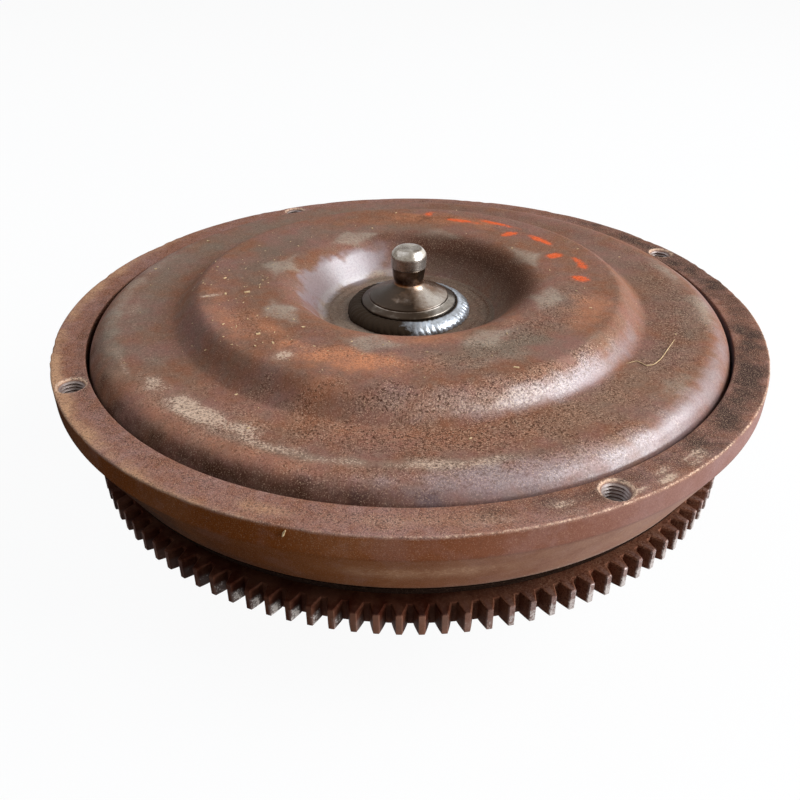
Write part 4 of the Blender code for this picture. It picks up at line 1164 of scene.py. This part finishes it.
@dataclass
class MountingRing:
    """The coned ring with its four tapped holes, and the thin weld under it."""

    bore: float = 0.1456
    outer: float = 0.160
    rim: float = 0.010
    height: float = 0.0362
    foot: float = 0.1458
    seat: float = 0.1437
    groove: float = 0.009
    holes: int = 4
    hole_circle: float = 0.1528
    hole_start: float = 26.3
    hole: float = 0.005
    hole_depth: float = 0.012
    flare: float = 0.0012
    pitch: float = 0.0015
    weld_gap: float = 0.0003
    weld: float = 0.0021
    steps: int = 640

    def profile(self) -> Array:
        """Give the ring's closed section, its worn corners rounded."""
        corners = (
            (self.bore, 0.0, 0.0005), (self.outer, 0.0, 0.0009), (self.outer, -self.rim, 0.0008),
            (self.foot, -self.height, 0.0007), (self.seat, -self.height, 0.0002), (self.seat, -self.groove, 0.0002),
            (self.bore, -self.groove, 0.0004),
        )
        return refined(softened(corners), 0.0016, closed=True) + [0.0, RING_TOP]

    def middles(self) -> Array:
        """Give the holes' (x, y) middles."""
        turn = np.radians(self.hole_start + 360.0 / self.holes * np.arange(self.holes))
        return self.hole_circle * np.stack([np.cos(turn), np.sin(turn)], 1)

    def tap(self, middle: Array) -> Surface:
        """Give one hole's cutter: a cylinder whose radius follows a triangle wave of height less turn, flared on top.

        Args:
            middle: the hole's (x, y) middle.

        Returns:
            The cutter.
        """
        turn = turns(40)[:, None]
        height = np.linspace(self.flare, -self.hole_depth, 72)[None, :]
        phase = (height / self.pitch - turn / (2 * np.pi)) % 1.0
        thread = 0.0008 * (np.abs(2 * phase - 1.0) - 0.5)
        radius = self.hole - 0.0002 + thread * smooth(-height, 0.0006, 0.0016)
        radius = np.maximum(radius, self.hole + self.flare + height)
        ends = np.zeros_like(turn)
        radius = np.concatenate([ends, radius, ends], 1)
        height = np.concatenate([height[:, :1], height, height[:, -1:]], 1)
        points = around(radius, turn, height + RING_TOP) + [*middle, 0.0]
        return Surface(points, grid_faces(*radius.shape, False))

    @staticmethod
    def patches() -> List[Patch]:
        """List the marks on the ring's top."""
        return patches_of({
            Mask.RUST: (
                (158.5, -152, 6, 92, 1.0), (158, 170, 6, 70, 0.8), (158.5, 150, 5, 40, 0.5), (160, -122, 3.5, 44, 0.9),
                (154, -108, 4, 14, 0.5), (152, -88, 5, 40, 0.25),
            ),
            Mask.SOOT_AND_PAINTED_SHADE: (
                (147.8, -165, 2.6, 90, 0.35), (147.5, 40, 3, 150, 0.4), (152, -28, 13, 140, 1.0),
                (149, -58, 4, 34, 0.6), (153, 18, 13, 150, 1.0), (151, -66, 9, 60, 0.7), (152, 75, 9, 110, 0.4),
            ),
            Mask.PALE: (
                (157, -56.5, 2.6, 9, 1.2), (152.6, -56, 3, 7, 0.9), (153.5, -50, 3, 10, 1.0), (157, -50, 2, 9, 0.9),
                (156.6, -61, 2, 6, 1.0), (152.4, -71, 3, 9, 0.8), (155, -82, 4, 24, 0.42), (157, -71, 2.5, 18, 0.42),
                (153, -92, 4, 30, 0.3),
            ),
            Mask.GRIT: (
                (149, -140, 6, 150, 1.0), (152, -92, 9, 100, 1.0), (151, -40, 9, 130, 1.0), (151, 60, 8, 200, 0.7),
            ),
        })

    def wear(self, points: Array) -> Dict[Mask, Array]:
        """Work out from its shape where the ring is worn bright, sooted or orange, and where shade and light are
        painted on it.

        Args:
            points: the ring's points.

        Returns:
            Values for some masks.
        """
        radius, azimuth = polar(points)
        high = points[:, 2] - RING_TOP
        side = smooth(high, -0.0004, -0.0014) * smooth(radius, self.foot - 0.001, self.foot)
        cone = smooth(high, -self.rim, -self.rim - 0.002) * side
        right = 0.5 + 0.5 * np.cos(np.radians(azimuth + 25.0))
        # The rim's pale edge grows towards the right as a painted highlight.
        rim = smooth(radius, self.outer - 0.0011, self.outer - 0.0003) * smooth(high, -0.0014, -0.0003)
        # A painted highlight along the foot of the cone on the right.
        lower = bell(high, 0.0012 - self.height, 0.0018) * smooth(right, 0.68, 0.9)
        away = np.linalg.norm(points[:, None, :2] - self.middles()[None], axis=2).min(1)
        hole = smooth(away, self.hole + 0.0022, self.hole + 0.0006) * (1.0 - side)
        inside = smooth(away, self.hole + 0.0004, self.hole - 0.0002) * smooth(high, 0.0, -0.0008)
        inside *= smooth(high, -self.hole_depth - 0.004, -self.hole_depth)
        streak = bell(high, -0.021, 0.006) * cone * smooth(np.abs(azimuth + 88.0), 20.0, 4.0)
        # Painted shade in the gap at the bore.
        groove = smooth(radius, self.bore + 0.0012, self.bore + 0.0002) * smooth(high, -0.0002, -0.001)
        # Painted shade on the cone's left, and low on it towards its foot.
        back = 0.95 * cone * smooth(np.abs(azimuth), 98.0, 140.0)
        under = 0.65 * smooth(high, -0.025, -0.0345) * cone * smooth(np.abs(azimuth), 88.0, 118.0)
        clouds = 0.12 * side * smooth(waves(points, 0.05, 31), 0.0, 0.8)
        # Painted light: lighter rust on the right of the cone.
        painted_warm_light = cone * (0.22 * smooth(right, 0.45, 0.75) + 0.3 * smooth(right, 0.72, 0.95))
        # The side gets sooting plus painted shade on its left, less olive on its right as painted light, and a painted
        # reflection tint where it is polished on the right.
        return {
            Mask.EDGE_AND_PAINTED_GLINT: most(rim * (0.1 + 0.6 * right), 0.6 * lower, hole),
            Mask.BARE_AND_PAINTED_LIGHT: inside,
            Mask.RUST: most(0.62 * streak, clouds, painted_warm_light),
            Mask.SOOT_AND_PAINTED_SHADE: most(0.92 * groove, back, under, 0.75 * side * smooth(right, 0.5, 0.1)),
            Mask.OLIVE: side * (1.0 - 0.55 * smooth(right, 0.72, 1.0)),
            Mask.POLISH_AND_PAINTED_SHEEN: most(0.9 * inside, 0.6 * side * smooth(right, 0.6, 1.0)),
            Mask.GRIT: 0.62 - 0.42 * side,
        }

    def build(self, shop: Workshop) -> None:
        """Turn the ring, chip its rim, tap its holes and lay its marks; then run the weld below it.

        Args:
            shop: the finishes.
        """
        obj = lathe(self.profile(), self.steps).to_object("mounting_ring_body")
        points = places_of(obj)
        radius = polar(points)[0]
        near_rim = smooth(radius, self.outer - 0.0025, self.outer) * smooth(points[:, 2], RING_TOP - 0.0025, RING_TOP)
        chip = near_rim * (0.5 + 0.5 * waves(points, 0.007, 21)) * smooth(waves(points, 0.03, 22), -0.2, 0.6)
        points[:, :2] *= (1.0 - 0.0004 * chip / radius)[:, None]
        points[:, 2] -= 0.0003 * chip
        move_points(obj, points)
        for middle in self.middles():
            cut_away(obj, self.tap(middle))
        points = places_of(obj)
        lay_patches(obj, self.patches(), self.wear(points), smooth(points[:, 2] - RING_TOP, -0.0013, -0.0004))
        shop.dress(obj, "rusty_ring_steel", "mounting_ring")
        corner = (self.seat, RING_TOP - self.height - self.weld_gap)
        shop.fillet("ring_weld_run", "mounting_ring_weld", corner, self.weld, 7)


@dataclass
class RingGear:
    """The starter ring gear, with involute teeth chamfered at their ends."""

    teeth: int = 114
    module: float = 0.00256
    dedendum: float = 1.25
    bore: float = 0.1346
    bottom: float = 0.0530
    width: float = 0.0098
    pressure: float = 20.0
    start: float = -0.4
    chamfer: float = 0.0005

    def outline(self, inset: float) -> Tuple[Array, Array]:
        """Give the outline in polar form: involute flanks of half angle s/2r + inv(a0) - inv(a), then tip and root.

        Args:
            inset: how far the outline is drawn in, for the chamfer at the teeth's ends.

        Returns:
            Radii and angles round the whole gear.
        """
        pitch, pressure = self.teeth * self.module / 2, math.radians(self.pressure)
        base = pitch * math.cos(pressure)
        tip = pitch + self.module - inset
        root = pitch - self.dedendum * self.module - inset * 0.4
        flank = np.linspace(max(base, root + 0.0007), tip, 6)
        tilt = np.arccos(np.clip(base / flank, -1.0, 1.0))
        half = np.pi / (2 * self.teeth) + math.tan(pressure) - pressure - (np.tan(tilt) - tilt) - inset / flank
        side_r = np.concatenate([root + np.array([0.0, 0.00012, 0.0004]), flank])
        side_a = np.concatenate([half[0] + np.array([0.0016, 0.0009, 0.0003]), half])
        tooth_r = np.concatenate([side_r, [tip + 0.00004], side_r[::-1]])
        tooth_a = np.concatenate([-side_a, [0.0], side_a[::-1]])
        middle = turns(self.teeth)[:, None] + math.radians(self.start)
        return np.tile(tooth_r, self.teeth), (middle + tooth_a[None]).ravel()

    def wear(self, points: Array, root: float) -> Dict[Mask, Array]:
        """Work out where the teeth get painted glints and highlights and where the gear gets painted shade.

        Args:
            points: the gear's points.
            root: the radius of the teeth's roots.

        Returns:
            Values for the masks.
        """
        radius, azimuth = polar(points)
        down = self.bottom + self.width - points[:, 2]
        crown = smooth(radius, root + 0.0050, root + 0.0057)
        end = smooth(down, 0.0003, 0.0)
        low = smooth(down, 0.38 * self.width, 0.5 * self.width)
        turn = (azimuth - self.start) * self.teeth / 360.0
        left, right = sector(azimuth, 228.0, 42.0, 24.0), sector(azimuth, -30.0, 62.0, 36.0)
        far = sector(azimuth, 194.0, 56.0, 36.0)
        flank = smooth(radius, root + 0.0008, root + 0.0022) * smooth(turn - np.round(turn), 0.10, 0.15)
        # Painted glints on the lower flanks of the left teeth, fewer on the far left.
        painted_glint = 0.85 * left * flank * low * (1.0 - 0.8 * far)
        # Painted shade on the roots, flanks and end faces, less on the right.
        painted_tooth_shade = (1.0 - 0.55 * right) * most(0.9 * (1.0 - crown), 0.95 * end)
        # On the right the tips get painted highlights and a painted reflection tint; the left and far left get painted
        # shade.
        return {
            Mask.EDGE_AND_PAINTED_GLINT: most(painted_glint, 0.12 * crown * (1.0 - left), crown * right * (0.5 + 0.5 * low)),
            Mask.SOOT_AND_PAINTED_SHADE: most(painted_tooth_shade, 0.75 * left, 0.95 * far),
            Mask.GRIT: 0.5 * right,
            Mask.POLISH_AND_PAINTED_SHEEN: 0.45 * crown * right,
        }

    def build(self, shop: Workshop) -> None:
        """Stack the outline's rings from bore to bore, so that the gear is one closed skin.

        Args:
            shop: the finishes.
        """
        bottom, top = self.bottom, self.bottom + self.width
        full_r, full_a = self.outline(0.0)
        slim_r, slim_a = self.outline(self.chamfer)
        root = self.teeth * self.module / 2 - self.dedendum * self.module
        bore, land = np.full_like(full_r, self.bore), np.full_like(full_r, root - 0.0012)
        rings = (
            (bore, full_a, top), (land, full_a, top), (slim_r, slim_a, top), (full_r, full_a, top - self.chamfer),
            (full_r, full_a, top - 0.36 * self.width), (full_r, full_a, top - 0.52 * self.width),
            (full_r, full_a, bottom + self.chamfer), (slim_r, slim_a, bottom), (land, full_a, bottom),
            (bore, full_a, bottom),
        )
        radius, angle = (np.stack([ring[i] for ring in rings], 1) for i in (0, 1))
        points = around(radius, angle, np.array([ring[2] for ring in rings]))
        obj = Surface(points, grid_faces(*radius.shape, True)).to_object("starter_gear_teeth", sharp=25.0)
        set_masks(obj, self.wear(places_of(obj), root))
        shop.dress(obj, "dark_gear_steel", "ring_gear")


@dataclass
class RearHousing:
    """The impeller's shell behind the gear, the drive neck and the welds that join them."""

    shell: float = 0.004
    rim: float = 0.1391
    rim_top: float = 0.0798
    lip: float = 0.0658
    gear_seat: float = 0.1343
    gear_drop: float = 0.0027
    bowl_top: float = 0.0527
    bowl_middle: float = 0.0952
    bowl_back: float = 0.0253
    bowl_inner: float = 0.0561
    hub_back: float = 0.045
    hub_front: float = 0.053
    flange: float = 0.046
    gap: float = 0.0003
    neck: float = 0.0225
    neck_bore: float = 0.0185
    slot_width: float = 0.010
    slot_depth: float = 0.012
    slot_reach: float = 0.03
    hub_weld_half: float = 0.0025
    hub_weld_deep: float = 0.0022
    closure: Tuple[float, float] = (0.1394, 0.0695)
    closure_size: float = 0.0034

    def shell_profile(self) -> Array:
        """Give the shell's closed section: rim, gear seat, bowl and the flat round the hub, then the inside."""
        outer_bowl = (self.gear_seat - self.bowl_middle, self.bowl_top - self.bowl_back)
        inner_bowl = (self.bowl_middle - self.bowl_inner, self.hub_back - self.bowl_back)
        hub = self.flange + self.gap
        outside = np.concatenate([
            [[self.rim, self.rim_top], [self.rim, self.lip], [self.gear_seat, self.lip - self.gear_drop]],
            arc((self.bowl_middle, self.bowl_top), outer_bowl, 0.0, -90.0, 30),
            arc((self.bowl_middle, self.hub_back), inner_bowl, -90.0, -172.0, 30)[1:],
            [[self.bowl_inner - 0.0012, self.hub_back - 0.0007], [self.bowl_inner - 0.003, self.hub_back]],
            [[hub, self.hub_back]],
        ])
        return walled(refined(outside, 0.0022), self.shell, (hub, -np.inf), (self.rim - self.shell, self.rim_top))

    def neck_profile(self) -> Array:
        """Give the hub's closed section: flange, neck and bore, with machined corners."""
        corners = (
            (self.neck_bore, self.hub_front, 0.0006), (self.flange, self.hub_front, 0.0004),
            (self.flange, self.hub_back, 0.0004), (self.neck, self.hub_back, 0.0018), (self.neck, 0.0, 0.0011),
            (self.neck_bore, 0.0, 0.0007),
        )
        return refined(softened(corners), 0.003, closed=True)

    def slot_cutter(self) -> Surface:
        """Give the bar that mills the two drive slots across the neck's end: a rounded section carried along Y."""
        half, deep, under = self.slot_width / 2, self.slot_depth, -0.01
        bar = softened(((-half, under, 0.0), (half, under, 0.0), (half, deep, 0.0012), (-half, deep, 0.0012)))
        along = self.slot_reach * np.array([-1.0, -1.0, 1.0, 1.0])
        size = np.array([0.0, 1.0, 1.0, 0.0])
        middle = bar.mean(0)
        section = middle[None, None] + (bar[None] - middle) * size[:, None, None]
        points = np.stack([section[..., 0], np.tile(along[:, None], (1, len(bar))), section[..., 1]], -1)
        return Surface(points.reshape(-1, 3), grid_faces(len(along), len(bar), True, close_rows=False))

    def hub_weld(self) -> Surface:
        """Give the bead over the hub's seam: a half ellipse whose depth ripples as |sin| of a skewed turn."""
        turn = turns(900)[:, None]
        angle = np.radians(np.linspace(0.0, -180.0, 13))[None, :]
        ripple = 0.82 + 0.18 * np.abs(np.sin(turn * 58 + 1.2 * np.sin(angle)))
        radius = self.flange + self.gap / 2 + self.hub_weld_half * np.cos(angle) * (0.94 + 0.06 * ripple)
        height = self.hub_back - self.gap + self.hub_weld_deep * ripple * np.sin(angle)
        return Surface(around(radius, turn, height), grid_faces(*radius.shape, True))

    def build(self, shop: Workshop) -> None:
        """Make the shell, the hub and their welds.

        Args:
            shop: the finishes.
        """
        shell = lathe(self.shell_profile(), 320).to_object("impeller_shell_skin", sharp=40.0)
        lay_patches(shell, patches_of({
            Mask.RUST: ((110, 40, 20, 80, 0.8), (80, 200, 20, 60, 0.7)),
            Mask.SOOT_AND_PAINTED_SHADE: ((138, 0, 6, 500, 0.9), (62, 90, 10, 120, 0.6)),
            Mask.BARE_AND_PAINTED_LIGHT: ((95, -60, 6, 50, 0.7), (92, 130, 5, 40, 0.6)),
            Mask.PALE: ((112, -130, 6, 30, 0.6),),
        }))
        shop.dress(shell, "rusty_pressed_steel", "impeller_shell")
        hub = lathe(self.neck_profile(), 192).to_object("drive_neck")
        cut_away(hub, self.slot_cutter())
        set_masks(hub, {Mask.RUST: 0.6 * smooth(places_of(hub)[:, 2], 0.036, 0.044)})
        shop.dress(hub, "machined_hub_steel", "impeller_hub")
        shop.dress(self.hub_weld().to_object("hub_weld_scales", sharp=60.0), "weld_metal", "hub_weld_bead")
        shop.fillet("closure_weld_run", "closure_weld", self.closure, self.closure_size, 8)


@dataclass
class Litter:
    """Wood dust on the cover, a straw and a splinter."""

    chips: int = 210
    seed: int = 11
    lift: float = 0.00008

    @staticmethod
    def heights(radius: Array) -> Array:
        """Give the cover's outer height at a radius."""
        outside = FrontCover().outside()[:-2]
        return RING_TOP + np.interp(radius, outside[:, 0], outside[:, 1])

    def dust(self) -> Surface:
        """Give the chips: each an eight-cornered sliver, half sunk into the cover where it lies."""
        rng = np.random.default_rng(self.seed)
        count = self.chips
        near = rng.random(count) < 0.6
        azimuth = np.radians(np.where(near, rng.normal(-160.0, 38.0, count), rng.uniform(-180.0, 180.0, count)))
        radius = np.where(near, rng.uniform(0.064, 0.100, count), rng.uniform(0.062, 0.134, count))
        size = 0.00017 * np.exp(0.5 * rng.normal(size=count))
        spin = rng.uniform(0, np.pi, count)
        corner = np.array([[x, y, z] for z in (-1, 1) for x, y in ((-1, -1), (1, -1), (1, 1), (-1, 1))])
        shape = corner[None] * (size[:, None] * np.array([1.7, 0.8, 0.5]))[:, None]
        shape = shape * rng.uniform(0.6, 1.3, (count, 8, 1))
        c, s = np.cos(spin)[:, None], np.sin(spin)[:, None]
        x = shape[..., 0] * c - shape[..., 1] * s + (radius * np.cos(azimuth))[:, None]
        y = shape[..., 0] * s + shape[..., 1] * c + (radius * np.sin(azimuth))[:, None]
        z = shape[..., 2] + self.heights(radius)[:, None] + self.lift
        faces = np.array([[3, 2, 1, 0], [4, 5, 6, 7], [0, 1, 5, 4], [1, 2, 6, 5], [2, 3, 7, 6], [3, 0, 4, 7]])
        every = (faces[None] + 8 * np.arange(count)[:, None, None]).reshape(-1, 4)
        return Surface(np.stack([x, y, z], -1).reshape(-1, 3), every)

    @staticmethod
    def strand(path: Array, thick: float, sides: int = 7) -> Surface:
        """Give a thin tube carried along a path, its ends drawn to points.

        Args:
            path: (n, 3) places.
            thick: the radius at its middle.
            sides: how many sides it has.

        Returns:
            The tube.
        """
        share = np.linspace(0.0, 1.0, len(path))
        along = np.gradient(path, axis=0)
        along /= np.linalg.norm(along, axis=1, keepdims=True)
        side = np.cross(along, [0.0, 0.0, 1.0])
        side /= np.linalg.norm(side, axis=1, keepdims=True)
        over = np.cross(side, along)
        turn = turns(sides)[None, :, None]
        radius = thick * np.sqrt(np.clip(4 * share * (1 - share), 0.0, 1.0))[:, None, None]
        points = path[:, None] + radius * (side[:, None] * np.cos(turn) + over[:, None] * np.sin(turn))
        return Surface(points.reshape(-1, 3), grid_faces(len(path), sides, True, close_rows=False))

    @staticmethod
    def route(knots: Sequence[Tuple[float, float]], count: int) -> Tuple[Array, Array]:
        """Give radii and azimuths along a smoothed chain of (millimetres, degrees) knots.

        Args:
            knots: the chain.
            count: how many points.

        Returns:
            Radii in metres and azimuths in radians.
        """
        chain = np.asarray(knots, float)
        t = np.linspace(0.0, 1.0, count)
        own = np.linspace(0.0, 1.0, len(chain))
        near = np.exp(-((t[:, None] - own[None]) * (len(chain) - 1) / 0.62) ** 2)
        near /= near.sum(1, keepdims=True)
        return near @ chain[:, 0] / 1000, np.radians(near @ chain[:, 1])

    def build(self, shop: Workshop) -> None:
        """Scatter the dust and lay the strands.

        Args:
            shop: the finishes.
        """
        wood = "wood_dust"
        shop.dress(self.dust().to_object("wood_dust", sharp=20.0), "rusty_pressed_steel", finish=wood)
        knots = (
            (107.5, -36.5), (110.5, -33.6), (115.0, -34.8), (117.4, -33.5), (118.5, -30.5), (119.0, -26.0),
            (120.6, -21.0),
        )
        radius, azimuth = self.route(knots, 48)
        height = self.heights(radius) + 0.00025 + 0.0006 * np.linspace(0.0, 1.0, 48) ** 2
        straw = self.strand(around(radius, azimuth, height), 0.0002)
        shop.dress(straw.to_object("straw", sharp=60.0), "rusty_pressed_steel", finish=wood)
        radius, azimuth = self.route(((160.1, -105.2), (160.3, -105.0), (160.2, -104.7)), 12)
        height = RING_TOP + np.linspace(-0.0046, -0.0012, 12)
        splinter = self.strand(around(radius, azimuth, height), 0.0004)
        shop.dress(splinter.to_object("splinter", sharp=60.0), "rusty_ring_steel", finish=wood)


# Studio


@dataclass(frozen=True)
class Lamp:
    """An oblong area lamp that faces the cover: its place, its width and height, its watts and its colour."""

    name: str
    place: Place
    size: Tuple[float, float]
    power: float
    tint: Colour

    def build(self) -> None:
        """Hang the lamp."""
        data = bpy.data.lights.new(self.name, "AREA")
        data.shape = "RECTANGLE"
        data.size, data.size_y = self.size
        data.energy = self.power
        data.color = self.tint
        away = np.asarray(self.place) - np.array([0.0, 0.0, RING_TOP])
        away /= np.linalg.norm(away)
        side = np.cross([0.0, 0.0, 1.0], away)
        side /= np.linalg.norm(side)
        turned = Matrix(np.stack([side, np.cross(away, side), away], 1).tolist()).to_4x4()
        turned.translation = self.place
        add_object(self.name, data).matrix_world = turned


@dataclass
class Studio:
    """A pale floor, soft lamps and the camera."""

    lamps: Tuple[Lamp, ...] = (
        Lamp("window", (1.60, -0.26, 1.25), (1.7, 1.1), 46.5, (0.94, 0.98, 1.04)),
        Lamp("fill", (1.45, -0.68, 0.24), (1.0, 0.5), 20.0, (0.94, 0.98, 1.04)),
        Lamp("ceiling", (-1.0, 0.3, 1.9), (2.0, 2.0), 17.0, (0.86, 0.98, 1.16)),
    )
    floor_half: float = 6.0
    floor_glow: float = 0.94
    floor_bounce: Colour = (0.32, 0.32, 0.32)
    floor_tone: Colour = (0.9, 0.9, 0.9)
    world_level: float = 0.13
    camera_place: Place = (-0.00431197, -0.35569404, 0.2833778)
    camera_turn: Place = (57.77981956, 0.25723408, -0.16211453)
    lens: float = 37.49650332
    sensor: float = 36.0

    @staticmethod
    def seen(graph: Graph) -> Socket:
        """Give 1 for rays from the camera, mirror-like rays and rays through glass, and 0 for the others."""
        light = graph.node("ShaderNodeLightPath").outputs
        direct = graph.most(light["Is Camera Ray"], light["Is Glossy Ray"])
        return graph.most(direct, light["Is Transmission Ray"])

    def build_world(self) -> None:
        """Make the sky: white where it is seen, and a plain level where it lights."""
        world = bpy.data.worlds.new("studio")
        bpy.context.scene.world = world
        world.use_nodes = True
        graph = Graph(world.node_tree)
        strength = graph.step(self.seen(graph), 0.0, 1.0, self.world_level, 1.0)
        graph.feed(world.node_tree.nodes["Background"], {"Color": WHITE, "Strength": strength})

    def build_floor(self) -> None:
        """Make the floor: part white glow where it is seen, part matt, which keeps the shadow."""
        half = self.floor_half
        corners = [(-half, -half, 0.0), (half, -half, 0.0), (half, half, 0.0), (-half, half, 0.0)]
        mesh = bpy.data.meshes.new("floor")
        mesh.from_pydata(corners, [], [(0, 1, 2, 3)])
        floor = add_object("floor", mesh)
        material, graph, shader = new_material("pale_floor")
        seen = self.seen(graph)
        tone = graph.mix(seen, self.floor_bounce, self.floor_tone)
        graph.feed(shader, {"Base Color": tone, "Roughness": 0.9, "Specular IOR Level": 0.0})
        glow = graph.node("ShaderNodeEmission", {"Color": WHITE, "Strength": 1.0}).outputs[0]
        feeds = {0: graph.times(seen, self.floor_glow), 1: shader.outputs[0], 2: glow}
        blend = graph.node("ShaderNodeMixShader", feeds).outputs[0]
        graph.feed(material.node_tree.nodes["Material Output"], {"Surface": blend})
        mesh.materials.append(material)

    def build_camera(self) -> None:
        """Set the camera where the photograph was taken."""
        data = bpy.data.cameras.new("camera")
        data.lens = self.lens
        data.sensor_width = self.sensor
        camera = add_object("camera", data)
        camera.location = self.camera_place
        camera.rotation_euler = [math.radians(a) for a in self.camera_turn]
        bpy.context.scene.camera = camera

    def build(self) -> None:
        """Set up the whole studio."""
        self.build_world()
        self.build_floor()
        for lamp in self.lamps:
            lamp.build()
        self.build_camera()
        bpy.context.scene.view_settings.view_transform = "Standard"


def main() -> None:
    """Build the finishes, the pieces and the studio."""
    logging.basicConfig(level=logging.INFO, format="%(name)s: %(message)s")
    shop = Workshop()
    for piece in (FrontCover(), Pilot(), MountingRing(), RingGear(), RearHousing(), Litter()):
        piece.build(shop)
    shop.dress_inner(frame["nodes"], frame["record"])
    Studio().build()


if __name__ == "__main__":
    main()
